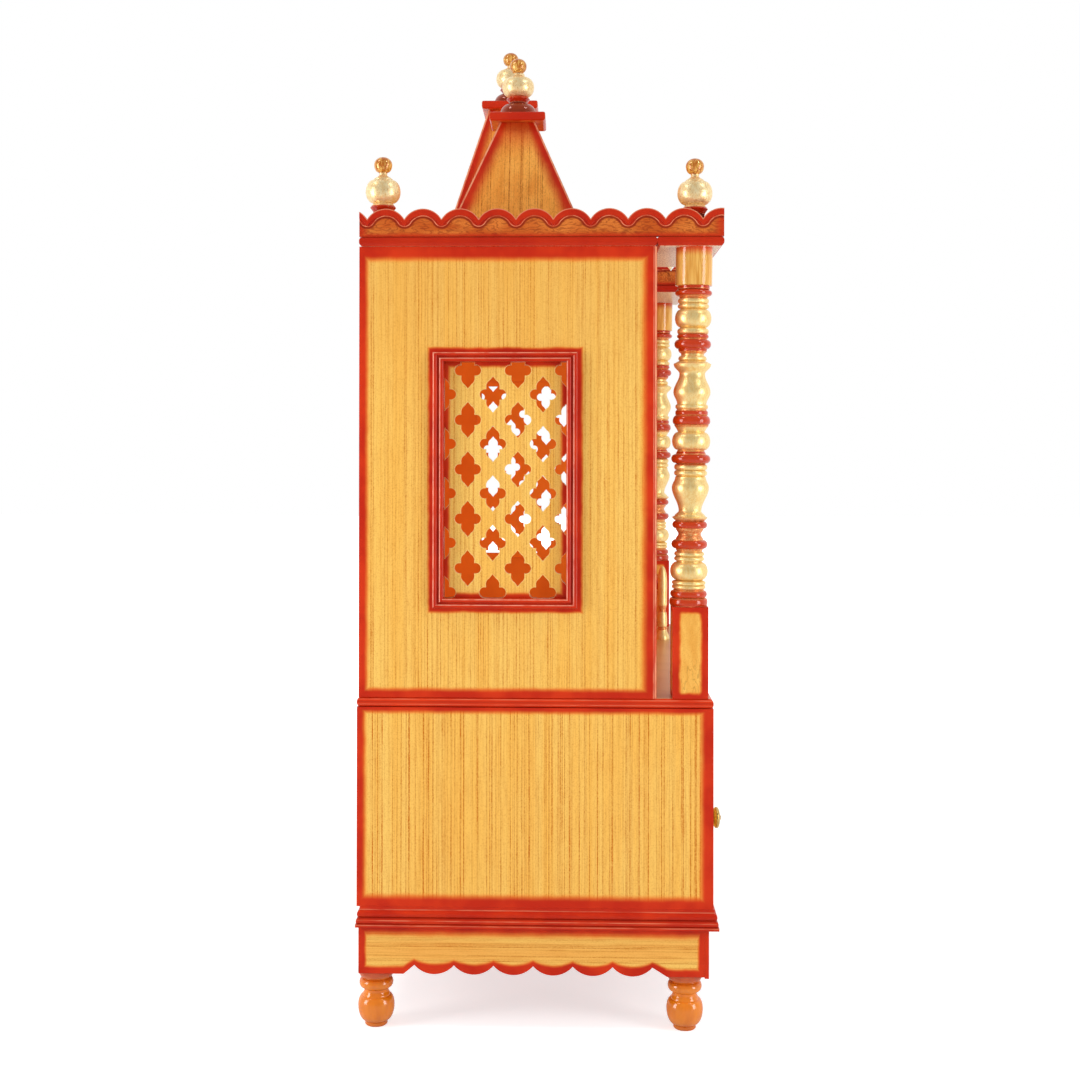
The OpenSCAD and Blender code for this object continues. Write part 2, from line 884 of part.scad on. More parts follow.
// Distance from the back, and how much shorter the stem is, for each row of corner finials
finial_rows = [[30, 0], [483, 3.8]];

module corner_finials() {
    color(gold_paint)
        for (side = sides, row = finial_rows)
            translate([side * (half_w - finial_inset_x), at_depth(row[0]), deck_z])
                turned(corner_finial_turning(row[1]));
}

// ---- Parts ---------------------------------------------------------------------------------

feet();
skirt_left();
skirt_right();
skirt_front();
skirt_back();
plinth();
cabinet_left();
cabinet_right();
cabinet_back();
cabinet_front_rail();
cabinet_dividers();
drawer_runners();
platform();
chamber_left();
chamber_right();
chamber_back();
window_frame_left();
window_frame_right();
jali_left();
jali_right();
pedestals();
pillar_left();
pillar_right();
newels();
balustrade_left();
balustrade_right();
roof_main();
roof_wings();
cornice_left();
cornice_right();
cornice_back();
cornice_front();
cornice_wings();
tower_left();
tower_centre();
tower_right();
tower_caps();
tower_finials();
corner_finials();
drawer_left();
drawer_middle();
drawer_right();
knob_left();
knob_middle();
knob_right();
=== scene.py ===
"""Looks of a home shrine cabinet: lined veneer with red shaded edges, red lacquered mouldings,
gold painted turnings and amber feet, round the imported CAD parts."""

import math

import bpy
from mathutils import Matrix, Vector


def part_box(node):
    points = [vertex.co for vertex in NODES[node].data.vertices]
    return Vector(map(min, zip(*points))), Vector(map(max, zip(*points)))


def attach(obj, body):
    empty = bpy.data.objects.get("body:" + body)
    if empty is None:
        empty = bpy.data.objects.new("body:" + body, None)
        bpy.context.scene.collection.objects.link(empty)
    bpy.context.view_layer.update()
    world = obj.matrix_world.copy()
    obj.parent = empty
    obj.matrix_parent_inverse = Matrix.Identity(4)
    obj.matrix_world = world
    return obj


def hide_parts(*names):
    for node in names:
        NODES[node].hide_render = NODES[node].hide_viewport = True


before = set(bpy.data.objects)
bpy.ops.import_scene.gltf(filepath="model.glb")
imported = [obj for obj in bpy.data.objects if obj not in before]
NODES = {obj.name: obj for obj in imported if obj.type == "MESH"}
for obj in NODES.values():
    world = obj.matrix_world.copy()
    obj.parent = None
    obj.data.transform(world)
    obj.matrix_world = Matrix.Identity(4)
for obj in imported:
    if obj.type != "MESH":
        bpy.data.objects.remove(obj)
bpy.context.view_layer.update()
MM = 0.001
AXES = "xyz"


# ---- Colours ----

def tint(red, green, blue):
    """A colour written as it looks, 0 to 255 a channel, as the linear values that nodes take."""
    def linear(c):
        c = c / 255
        return c / 12.92 if c <= 0.04045 else ((c + 0.055) / 1.055) ** 2.4
    return linear(red), linear(green), linear(blue), 1.0


VENEER_LIGHT = tint(255, 207, 106)
VENEER_DEEP = tint(254, 196, 90)
VENEER_LINE = tint(204, 106, 0)
# Painted shade towards the top of the walls with a window
VENEER_TOP_SHADE = tint(218, 148, 66)
RED_DEEP = tint(198, 38, 10)
RED_LIGHT = tint(217, 54, 16)
RED_STREAK = tint(180, 34, 10)
RED_DULL = tint(172, 32, 10)
RED_SHADE = tint(120, 24, 8)
SPRAY_ORANGE = tint(246, 122, 28)
GOLD_LIGHT = tint(255, 228, 160)
GOLD_DEEP = tint(246, 204, 124)
# How metallic the gold paint is
PEARL, FINIAL_PEARL = 0.6, 0.5
AMBER = tint(240, 136, 24)
AMBER_RED = tint(192, 62, 22)
INSIDE_BROWN = tint(246, 128, 36)
CAPITAL_WOOD = tint(244, 188, 96)
CREST_WOOD = tint(202, 90, 28)
# The pale pink of painted highlights along edges, rims and ridges
HIGHLIGHT_PINK = tint(238, 158, 118)
SOFFIT_PALE = tint(255, 230, 196)
SOFFIT_SPECK = tint(178, 128, 84)
PLATFORM_TAN = tint(222, 164, 100)
BARE_WOOD = tint(206, 164, 110)
BARE_DEEP = tint(190, 146, 92)
BARE_LINE = tint(150, 108, 62)
BRASS = tint(214, 178, 104)


# ---- Finishes ----

class Nodes:
    """The nodes of a material or of the world: short ways to add and to join them."""

    def __init__(self, owner, place="Object"):
        owner.use_nodes = True
        tree = owner.node_tree
        tree.nodes.clear()
        self.tree, self.links = tree, tree.links
        self.place = self.new("TexCoord").outputs[place]
        self.axis = self.split(self.place)

    def new(self, kind):
        return self.tree.nodes.new("ShaderNode" + kind)

    def split(self, direction):
        parts = self.new("SeparateXYZ")
        self.links.new(direction, parts.inputs[0])
        return dict(zip(AXES, parts.outputs))

    def feed(self, socket, value):
        if isinstance(value, bpy.types.NodeSocket):
            self.links.new(value, socket)
        else:
            socket.default_value = value

    def calc(self, operation, a, b=0.0):
        node = self.new("Math")
        node.operation = operation
        self.feed(node.inputs[0], a)
        self.feed(node.inputs[1], b)
        return node.outputs[0]

    def plus(self, a, b):
        return self.calc("ADD", a, b)

    def minus(self, a, b):
        return self.calc("SUBTRACT", a, b)

    def times(self, a, b):
        return self.calc("MULTIPLY", a, b)

    def size(self, a):
        return self.calc("ABSOLUTE", a)

    def length(self, a, b):
        return self.calc("SQRT", self.plus(self.times(a, a), self.times(b, b)))

    def strongest(self, values):
        total = values[0]
        for value in values[1:]:
            total = self.calc("MAXIMUM", total, value)
        return total


class Finish(Nodes):
    """A material while it is made."""

    def __init__(self, name, roughness=0.4, specular=0.5, metallic=0.0):
        self.material = bpy.data.materials.new(name)
        super().__init__(self.material)
        self.surface = self.new("BsdfPrincipled")
        self.links.new(self.surface.outputs[0], self.new("OutputMaterial").inputs["Surface"])
        for socket, value in (("Roughness", roughness), ("Specular IOR Level", specular),
                              ("Metallic", metallic)):
            self.surface.inputs[socket].default_value = value

    def step(self, value, start, end, low, high):
        """Goes smoothly from `low` where the value is `start` to `high` where it is `end`."""
        node = self.new("MapRange")
        node.interpolation_type = "SMOOTHSTEP"
        for socket, given in zip(node.inputs, (value, start, end, low, high)):
            self.feed(socket, given)
        return node.outputs[0]

    def rise(self, value, start, end, most=1.0):
        return self.step(value, start, end, 0.0, most)

    def fade(self, value, start, end, most=1.0):
        return self.step(value, start, end, most, 0.0)

    def mix(self, factor, a, b):
        node = self.new("Mix")
        node.data_type = "RGBA"
        self.feed(node.inputs["Factor"], factor)
        self.feed(node.inputs[6], a)
        self.feed(node.inputs[7], b)
        return node.outputs[2]

    def patchy(self, noise, start, end, a, b):
        """Colour `a` where the noise is under `start`, and `b` where it is over `end`."""
        return self.mix(self.rise(noise, start, end), a, b)

    def noise(self, size, detail=2.0, shift=0.0, roughness=0.5):
        """Noise whose patches are `size` millimetres long: one number, or one for each axis."""
        sizes = size if isinstance(size, (list, tuple)) else (size,) * 3
        stretch = self.new("Mapping")
        stretch.inputs["Scale"].default_value = [1 / (s * MM) for s in sizes]
        stretch.inputs["Location"].default_value = (shift, 1.7 * shift, 0.6 * shift)
        self.links.new(self.place, stretch.inputs["Vector"])
        node = self.new("TexNoise")
        node.inputs["Scale"].default_value = 1.0
        node.inputs["Detail"].default_value = detail
        node.inputs["Roughness"].default_value = roughness
        self.links.new(stretch.outputs[0], node.inputs["Vector"])
        return node.outputs[0]

    def drift(self, size, amount, shift):
        """Noise that strays up to half of `amount` to either side of nothing."""
        return self.times(self.minus(self.noise(size, 2.0, shift), 0.5), amount * MM)

    def strewn(self, place, pitch, shift=0.0):
        """Points strewn along a line, about `pitch` apart: how far the nearest one is, and a
        number from 0 to 1 of its own."""
        node = self.new("TexVoronoi")
        node.voronoi_dimensions = "1D"
        node.inputs["Scale"].default_value = 1 / pitch
        self.feed(node.inputs["W"], self.plus(place, shift))
        own = self.new("SeparateColor")
        self.links.new(node.outputs["Color"], own.inputs[0])
        return self.times(node.outputs["Distance"], pitch), own.outputs[0]

    def bands(self, height, spans, soft=0.8):
        """Where the height lies within one of the spans, in millimetres, with soft ends."""
        found = []
        for low, high in spans:
            rise = self.rise(height, (low - soft) * MM, (low + soft) * MM)
            drop = self.fade(height, (high - soft) * MM, (high + soft) * MM)
            found.append(self.times(rise, drop))
        return self.strongest(found) if found else 0.0

    def normal(self):
        return self.new("NewGeometry").outputs["Normal"]

    def facing(self, axis):
        """How far the surface faces along +axis, from -1 to 1."""
        return self.split(self.normal())[axis]

    def near_edge(self, reach):
        """Over nothing within that distance of an edge, and more the nearer it is."""
        node = self.new("VectorMath")
        node.operation = "DOT_PRODUCT"
        self.links.new(self.eased(reach), node.inputs[0])
        self.links.new(self.normal(), node.inputs[1])
        return self.minus(1.0, node.outputs["Value"])

    def colour(self, value):
        self.feed(self.surface.inputs["Base Color"], value)

    def bump(self, height, depth, ease=0.0):
        """Relief of that depth, over edges eased by a small radius, in millimetres."""
        node = self.new("Bump")
        node.inputs["Distance"].default_value = depth * MM
        self.feed(node.inputs["Height"], height)
        if ease:
            self.links.new(self.eased(ease), node.inputs["Normal"])
        self.links.new(node.outputs[0], self.surface.inputs["Normal"])

    def ripple(self, ease, shift=1.9, size=4, depth=0.05):
        """The faint ripple of brushed lacquer."""
        self.bump(self.noise(size, 2.0, shift), depth, ease)

    def eased(self, radius):
        node = self.new("Bevel")
        node.samples = 4
        node.inputs["Radius"].default_value = radius * MM
        return node.outputs[0]


# How far the veneer's lines stand out, in millimetres
LINE_DEPTH = -0.05


def along(grain, across, length):
    """Noise sizes for a pattern drawn out along the grain."""
    return [length if axis == grain else across for axis in AXES]


def lined_wood(f, grain, light=VENEER_LIGHT, deep=VENEER_DEEP, line=VENEER_LINE, strength=0.6,
               seed=0.0, across=None):
    """Veneer with fine dark lines along its grain, strewn over `across`. Gives its colour and
    its lines."""
    if across is None:
        across = f.plus(*(f.axis[axis] for axis in AXES if axis != grain))
    across = f.plus(across, f.drift(along(grain, 90, 700), 3, seed + 7.7))
    found = []
    # How far apart the lines are, where each begins to fade and is gone, and the faintest one
    for pitch, half, edge, faint in ((6.6 * MM, 0.35 * MM, 1.25 * MM, 0.1),
                                     (9.5 * MM, 0.1 * MM, 0.9 * MM, 0.0),
                                     (14.5 * MM, 0.25 * MM, 1.1 * MM, 0.55)):
        distance, own = f.strewn(across, pitch, (seed + 3) * pitch)
        mark = f.fade(distance, half, edge)
        found.append(f.times(mark, f.step(own, 0.1, 0.95, faint, 1.0)))
    lines = f.strongest(found)
    worn = f.noise(along(grain, 6, 130), 3.0, seed + 1.3)
    lines = f.times(lines, f.step(worn, 0.3, 0.62, 0.35, 1.0))
    grainy = f.noise(along(grain, 1.3, 2.4), 2.0, seed + 5.9)
    lines = f.times(lines, f.step(grainy, 0.3, 0.62, 0.4, 1.0))
    broad = f.noise(along(grain, 20, 1600), 3.0, seed + 3.1)
    cloud = f.noise(along(grain, 90, 260), 2.0, seed + 8.8)
    colour = f.patchy(f.plus(broad, f.times(cloud, 0.5)), 0.55, 0.95, light, deep)
    fibre = f.noise(along(grain, 1.9, 45), 2.0, seed + 6.4)
    speck = f.noise(1.7, 1.0, seed + 9.2)
    dark = f.times(lines, strength)
    dark = f.plus(dark, f.rise(fibre, 0.42, 0.75, 0.24))
    dark = f.plus(dark, f.rise(speck, 0.46, 0.76, 0.28))
    return f.mix(dark, colour, line), lines


def red_paint(f):
    return f.patchy(f.noise(60, 3.0, 2.4), 0.35, 0.65, RED_DEEP, RED_LIGHT)


def edge_red(f, box, edges):
    """Red sprayed along the edges of a board. Each edge is (axis, end, solid, fade): solid red
    up to that distance from that end of the box, and gone at `fade`, in millimetres."""
    drift = f.drift(22, 3, 4.2)
    found = []
    for axis, end, solid, fade in edges:
        i = AXES.index(axis)
        if end == "low":
            distance = f.minus(f.axis[axis], box[0][i])
        else:
            distance = f.minus(box[1][i], f.axis[axis])
        found.append(f.fade(f.plus(distance, drift), solid * MM, fade * MM))
    return f.strongest(found)


def all_round(axes, solid, fade):
    """The same red edge at both ends of each of these axes."""
    return [(axis, end, solid, fade) for axis in axes for end in ("low", "high")]


def sprayed(f, colour, red, paint=None):
    """Paint sprayed over a colour, red unless it is given. Its thin outer part looks orange."""
    glow = f.mix(f.rise(red, 0.0, 0.5, 0.6), colour, SPRAY_ORANGE)
    if paint is None:
        paint = red_paint(f)
    return f.mix(f.rise(red, 0.12, 0.95), glow, paint)


def give(node, finish):
    for slot in NODES[node].material_slots:
        slot.material = finish.material


# ---- Veneered boards ----

# How far the veneer and its red reach into a board, before the finish of its inward face
CABINET_SKIN, CHAMBER_SKIN, BACK_SKIN = 15.5, 13, 5


def veneer_finish(node):
    return Finish(node + "_veneer", roughness=0.42, specular=0.18)


def veneered(node, grain, edges, inside=None, surround=None, strength=0.5, seed=0.0):
    """Lined veneer with red edges. `inside` is (axis, end, thickness): past that distance from
    that end of the box the board has the brown paint of the inside. `surround` is for a wall
    with a window, and gives the red round the window, painted shade towards the wall's top
    and a painted highlight along its front edge."""
    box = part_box(node)
    f = veneer_finish(node)
    colour, lines = lined_wood(f, grain, strength=strength, seed=seed)
    red = edge_red(f, box, edges)
    if surround:
        # Painted shade: these walls are a little darker and deeper in colour towards their top
        down = f.minus(box[1].z, f.axis["z"])
        colour = f.mix(f.fade(down, 20 * MM, 300 * MM, 0.24), colour, VENEER_TOP_SHADE)
        red = f.calc("MAXIMUM", red, surround(f))
    colour = sprayed(f, colour, red)
    if surround:
        # A painted highlight along the wall's rounded front edge
        colour = front_edge_highlight(f, colour, box[0])
    if inside:
        axis, end, depth = inside
        i = AXES.index(axis)
        limit = box[0][i] + depth * MM if end == "low" else box[1][i] - depth * MM
        past = f.calc("GREATER_THAN" if end == "low" else "LESS_THAN", f.axis[axis], limit)
        brown = f.patchy(f.noise(90, 3.0, 6.6), 0.3, 0.7, INSIDE_BROWN, tint(237, 117, 32))
        colour = f.mix(past, colour, brown)
    f.colour(colour)
    f.bump(lines, LINE_DEPTH, ease=1.2)
    give(node, f)


def window_surround(f):
    """Red sprayed on the wall round the window's frame."""
    low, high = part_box("window_frame_left")
    apart = []
    for axis in "yz":
        i = AXES.index(axis)
        middle, half = (low[i] + high[i]) / 2, (high[i] - low[i]) / 2
        apart.append(f.minus(f.size(f.minus(f.axis[axis], middle)), half))
    distance = f.plus(f.calc("MAXIMUM", *apart), f.drift(20, 4, 1.1))
    return f.fade(distance, 2 * MM, 10 * MM)


def front_edge_highlight(f, colour, low):
    """Painted highlights: thin pale lines along the wall's rounded front edge."""
    from_front = f.minus(f.axis["y"], low.y)
    seen = f.step(f.noise(along("z", 8, 26), 3.0, 3.3), 0.34, 0.6, 0.3, 0.95)
    lines = f.bands(from_front, [(0.4, 3.0), (4.4, 5.2)], 0.5)
    return f.mix(f.times(lines, seen), colour, HIGHLIGHT_PINK)


def dress_boards():
    for side, seed in (("left", 0.0), ("right", 31.0)):
        outer = "low" if side == "left" else "high"
        veneered("cabinet_" + side, "z",
                 [("y", "low", 8, 25), ("y", "high", 4, 18), ("z", "low", 6, 24),
                  ("z", "high", 1, 13)],
                 inside=("x", outer, CABINET_SKIN), strength=1.0, seed=seed)
        veneered("chamber_" + side, "z",
                 [("y", "low", 8, 28), ("y", "high", 5, 18), ("z", "low", 5, 19),
                  ("z", "high", 10, 27)],
                 inside=("x", outer, CHAMBER_SKIN), surround=window_surround, strength=0.72,
                 seed=seed + 12)
    veneered("cabinet_back", "z", all_round("xz", 8, 22), strength=0.7, seed=50.0)
    veneered("chamber_back", "z", all_round("xz", 8, 22), inside=("y", "high", BACK_SKIN),
             strength=0.6, seed=57.0)
    veneered("cabinet_front_rail", "x", all_round("x", 8, 22) + all_round("z", 6, 18),
             strength=0.7, seed=63.0)
    for i, side in enumerate(("left", "middle", "right")):
        dress_drawer("drawer_" + side, 70.0 + 9 * i)


def dress_drawer(node, seed):
    low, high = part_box(node)
    f = veneer_finish(node)
    colour, lines = lined_wood(f, "z", strength=0.75, seed=seed)
    colour = sprayed(f, colour, edge_red(f, (low, high), all_round("xz", 7, 20)))
    bare, _ = lined_wood(f, "y", BARE_WOOD, BARE_DEEP, BARE_LINE, 0.2, seed)
    behind = f.calc("GREATER_THAN", f.axis["y"], low.y + CABINET_SKIN * MM)
    f.colour(f.mix(behind, colour, bare))
    f.bump(lines, LINE_DEPTH, ease=1.0)
    give(node, f)


# ---- Scalloped boards ----

CREST_PITCH, CREST_RISE = 53.4 * MM, 15 * MM
DROP_PITCH, DROP_RISE = 56.8 * MM, 13 * MM
DROP_SLOPE, FRONT_SLOPE = 15.5 * MM, 21 * MM
# How far the red rim reaches in from the crests
RIM = 10 * MM


def round_radius(pitch, rise):
    return ((pitch / 2) ** 2 + rise ** 2) / (2 * rise)


def scallop_dip(f, place, pitch, rise):
    """How far a scalloped edge falls back from the tops of its rounds, at a distance `place`
    from the first sharp point."""
    radius = round_radius(pitch, rise)
    across = f.minus(f.calc("FLOORED_MODULO", place, pitch), pitch / 2)
    return f.minus(radius, f.calc("SQRT", f.minus(radius ** 2, f.times(across, across))))


def rim_depth(f, place, drop):
    """How far a point of a cornice board is from its scalloped edge. `drop` is how far it is
    below the crests' tops, and `place` its distance along the board from a sharp point."""
    radius = round_radius(CREST_PITCH, CREST_RISE)
    from_sharp = f.calc("FLOORED_MODULO", place, CREST_PITCH)
    across = f.size(f.minus(from_sharp, CREST_PITCH / 2))
    up = f.minus(radius, drop)
    to_round = f.minus(radius, f.length(across, up))
    to_sharp = f.length(f.minus(CREST_PITCH / 2, across), f.minus(drop, CREST_RISE))
    # Past the flank's end, the sharp point is what is nearest
    slope = (CREST_PITCH / 2) / (radius - CREST_RISE)
    past = f.calc("GREATER_THAN", across, f.times(up, slope))
    return f.plus(f.times(past, to_sharp), f.times(f.minus(1.0, past), to_round))


def along_board(f, axis, low, high, start):
    """The distance along a scalloped board from its first sharp point, `start` from its end."""
    i = AXES.index(axis)
    if axis == "y":
        return f.minus(high[i] - start, f.axis[axis])
    return f.minus(f.axis[axis], low[i] + start)


def growth_rings(f, field, count):
    """Fine rings where a field climbs: nothing on a ring's line, and 0.5 halfway to the next."""
    return f.size(f.minus(f.calc("FRACT", f.times(field, count)), 0.5))


def dress_crests(node, axis, start):
    """A cornice board: swirled orange wood with a red rim along its crests, a painted highlight
    as a pale line where the rim's lacquer ends and along the crests' edge, and painted shade
    just below the rim."""
    low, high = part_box(node)
    f = Finish(node + "_wood", roughness=0.34, specular=0.2)
    place = along_board(f, axis, low, high, start)
    below = rim_depth(f, place, f.minus(high.z, f.axis["z"]))
    rings = growth_rings(f, f.noise(along(axis, 22, 75), 3.0, 8.8, 0.6), 13.0)
    wood = f.patchy(f.noise(along(axis, 22, 60), 2.0, 2.2), 0.32, 0.68, CREST_WOOD,
                    tint(226, 128, 52))
    wood = f.mix(f.fade(rings, 0.0, 0.28, 0.6), wood, tint(140, 48, 14))
    knots = f.rise(f.noise(along(axis, 16, 38), 2.0, 6.1), 0.6, 0.76, 0.7)
    wood = f.mix(knots, wood, tint(112, 36, 12))
    speck = f.rise(f.noise(1.6, 2.0, 3.9), 0.42, 0.76, 0.4)
    wood = f.mix(speck, wood, tint(150, 52, 16))
    foot = f.fade(f.minus(f.axis["z"], low.z), 0.5 * MM, 8 * MM, 0.9)
    under_rim = f.fade(below, RIM, RIM + 6 * MM, 0.85)
    ends = f.times(edge_red(f, (low, high), all_round(axis, 3, 18)), 0.85)
    rim = f.fade(below, RIM - 0.1 * MM, RIM + 0.6 * MM)
    red = f.strongest([rim, under_rim, foot, ends])
    colour = f.mix(red, wood, f.mix(0.4, red_paint(f), tint(172, 30, 10)))
    # A pale line where the rim's lacquer ends, broken here and there: painted highlight
    seen = f.step(f.noise(along(axis, 9, 14), 3.0, 5.1), 0.38, 0.6, 0.25, 0.95)
    line = f.times(f.rise(below, RIM - 0.4 * MM, RIM + 0.1 * MM),
                   f.fade(below, RIM + 0.5 * MM, RIM + 1.0 * MM))
    colour = f.mix(f.times(line, seen), colour, HIGHLIGHT_PINK)
    # A pale line right along the crests' edge: painted highlight
    colour = f.mix(f.fade(below, 0.6 * MM, 1.8 * MM, 0.7), colour, HIGHLIGHT_PINK)
    # Painted shade just below the rim
    shade = f.times(f.rise(below, RIM + 1.0 * MM, RIM + 1.8 * MM),
                    f.fade(below, RIM + 2.6 * MM, RIM + 5.0 * MM, 0.75))
    f.colour(f.mix(shade, colour, RED_SHADE))
    f.bump(rings, 0.05, ease=0.9)
    give(node, f)


def dress_skirt(node, axis, first, drops, last_slope=DROP_SLOPE):
    """A skirt board: horizontal veneer with red along its drops, its ends and under the
    plinth, and a painted shadow of the plinth just under its top edge."""
    low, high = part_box(node)
    f = veneer_finish(node)
    colour, lines = lined_wood(f, axis, VENEER_LIGHT, tint(250, 184, 88), strength=0.65,
                               seed=20.0 + 5 * first)
    place = along_board(f, axis, low, high, first)
    before = f.times(place, -1 / DROP_SLOPE)
    past = f.times(f.minus(place, drops * DROP_PITCH), 1 / last_slope)
    outside = f.calc("MAXIMUM", before, past)
    dip = scallop_dip(f, place, DROP_PITCH, DROP_RISE)
    slope = f.calc("MAXIMUM", 0.0, f.times(f.minus(1.0, outside), DROP_RISE))
    is_out = f.calc("GREATER_THAN", outside, 0.0)
    edge = f.plus(f.times(is_out, slope), f.times(f.minus(1.0, is_out), dip))
    # The red is sprayed on in a flatter wave than the edge has
    wave = f.plus(f.times(edge, 0.5), f.fade(outside, 0.0, 1.5, 3.5 * MM))
    above = f.minus(f.minus(f.axis["z"], low.z), wave)
    above = f.plus(above, f.drift(26, 4, 3.2))
    red = f.strongest([
        f.fade(above, 6 * MM, 15 * MM),
        edge_red(f, (low, high), [(axis, "low", 5, 13), (axis, "high", 6, 14),
                                  ("z", "high", 1, 20)])])
    # A painted shadow of the plinth, dark red just under the skirt's top edge
    shade = f.fade(f.minus(high.z, f.axis["z"]), 0.0, 4 * MM, 0.85)
    f.colour(sprayed(f, colour, red, f.mix(shade, red_paint(f), RED_SHADE)))
    f.bump(lines, LINE_DEPTH, ease=1.0)
    give(node, f)


def dress_scallops():
    side_start = 11.4 * MM
    for side in ("left", "right"):
        dress_crests("cornice_" + side, "y", side_start)
    for node in ("cornice_front", "cornice_wings"):
        low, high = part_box(node)
        dress_crests(node, "x", ((high.x - low.x) % CREST_PITCH) / 2)
    give("cornice_back", red_lacquer("cornice_back_lacquer"))
    side_leg, side_drops, end_drops = 80.6 * MM, 6, 13
    for side in ("left", "right"):
        dress_skirt("skirt_" + side, "y", side_leg, side_drops, FRONT_SLOPE)
    for end in ("front", "back"):
        low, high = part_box("skirt_" + end)
        leg = (high.x - low.x - end_drops * DROP_PITCH) / 2
        dress_skirt("skirt_" + end, "x", leg, end_drops)


# ---- Towers ----

def dress_tower(node, top_half, seed):
    """A tower: veneer with red along its four slanting edges and under its cap."""
    low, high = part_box(node)
    middle = (low + high) / 2
    base_half = (high.x - low.x) / 2
    f = Finish(node + "_veneer", roughness=0.36, specular=0.2)
    to_side = f.calc("GREATER_THAN", f.size(f.facing("x")), f.size(f.facing("y")))
    across = f.plus(f.times(f.axis["y"], to_side),
                    f.times(f.axis["x"], f.minus(1.0, to_side)))
    colour, lines = lined_wood(f, "z", tint(254, 180, 82), tint(240, 156, 62),
                               tint(156, 70, 0), 0.8, seed, across)
    up = f.minus(f.axis["z"], low.z)
    half = f.minus(base_half, f.times(up, (base_half - top_half) / (high.z - low.z)))
    # On a sloping face one of these is nothing, and the other is the distance to its edge
    off = [f.minus(half, f.size(f.minus(f.axis[a], middle[AXES.index(a)]))) for a in "xy"]
    to_edge = f.calc("MAXIMUM", *off)
    drifted = f.plus(to_edge, f.drift(30, 8, seed))
    down = f.minus(high.z, f.axis["z"])
    red = f.strongest([f.fade(drifted, 7 * MM, 30 * MM), f.fade(up, 4 * MM, 26 * MM, 0.9),
                       f.fade(down, 0.0, 62 * MM, 0.85)])
    colour = f.mix(red, colour, f.mix(0.15, red_paint(f), RED_SHADE))
    # A thin pale line along the slanting edges: painted highlight
    seen = f.step(f.noise(along("z", 9, 30), 2.0, 5.1), 0.34, 0.55, 0.6, 1.0)
    edge_highlight = f.times(f.fade(to_edge, 1.8 * MM, 3.4 * MM), seen)
    f.colour(f.mix(edge_highlight, colour, HIGHLIGHT_PINK))
    f.bump(lines, LINE_DEPTH, ease=1.8)
    give(node, f)


# ---- Lacquered mouldings, platform and roof ----

def streaked_red(f, across, length):
    streak = f.noise(along("z", across, length), 3.0, 5.5)
    return f.mix(f.rise(streak, 0.3, 0.7, 0.4), red_paint(f), RED_STREAK)


def red_lacquer(name):
    f = Finish(name, roughness=0.26, specular=0.2)
    f.colour(streaked_red(f, 30, 6))
    f.ripple(1.2)
    return f


def lit_lines(f, height, colour, levels, half=0.7):
    """Painted highlights: thin pale lines on a moulding's ridges, at these heights."""
    spans = [(level - half, level + half) for level in levels]
    seen = f.step(f.noise((40, 40, 5), 3.0, 7.7), 0.3, 0.65, 0.08, 0.45)
    return f.mix(f.times(f.bands(height, spans, 0.5), seen), colour, HIGHLIGHT_PINK)


def dress_plinth():
    """Red lacquer, with painted shade in its grooves and painted highlights on its ridges."""
    low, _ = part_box("plinth")
    f = Finish("plinth_lacquer", roughness=0.26, specular=0.2)
    up = f.minus(f.axis["z"], low.z)
    # Painted shade in the grooves
    grooves = f.times(f.bands(up, [(4.2, 6.0), (12.0, 14.5)], 0.8), 0.5)
    red = f.mix(grooves, streaked_red(f, 40, 5), RED_SHADE)
    f.colour(lit_lines(f, up, red, (3.2, 10.0, 24.5)))
    f.ripple(1.0)
    give("plinth", f)


def dress_platform():
    """A tan top, and a red edge with painted shade at its foot and in its groove, and painted
    highlights on its ridges.
    """
    f = Finish("platform_lacquer", roughness=0.3, specular=0.2)
    tan = f.patchy(f.noise(120, 3.0, 3.3), 0.3, 0.7, PLATFORM_TAN, tint(206, 140, 76))
    level = f.rise(f.facing("z"), 0.9, 0.98)
    low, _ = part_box("platform")
    up = f.minus(f.axis["z"], low.z)
    # Painted shade at the edge's foot and in its groove
    dark = f.strongest([f.fade(up, 0.0, 1.6 * MM, 0.5),
                        f.times(f.bands(up, [(6.5, 9.0)], 1.2), 0.35)])
    red = f.mix(dark, f.mix(0.5, red_paint(f), tint(234, 62, 20)), RED_SHADE)
    red = lit_lines(f, up, red, (4.2, 11.4), 0.6)
    f.colour(f.mix(level, red, tan))
    give("platform", f)


def dress_window_frame(side):
    """Red lacquer, with a painted highlight as a pale line on the back and upper flanks of its
    ridges, and painted shade on the faces turned to the front and down.
    """
    node = "window_frame_" + side
    f = Finish(node + "_lacquer", roughness=0.3, specular=0.2)
    # Painted highlight on the back and upper flanks of the ridges
    flank = f.calc("MAXIMUM", f.facing("y"), f.facing("z"))
    ridge_highlight = f.times(f.rise(flank, 0.4, 0.6), f.fade(flank, 0.7, 0.9))
    seen = f.step(f.noise((20, 12, 12), 3.0, 7.7), 0.3, 0.6, 0.35, 0.9)
    # Painted shade on the faces turned to the front and down
    shade_side = f.calc("MAXIMUM", f.times(f.facing("y"), -1.0), f.times(f.facing("z"), -1.0))
    red = f.mix(f.rise(shade_side, 0.2, 0.8, 0.3), red_paint(f), RED_SHADE)
    f.colour(f.mix(f.times(ridge_highlight, seen), red, tint(246, 176, 146)))
    f.ripple(0.5, size=5, depth=0.03)
    give(node, f)


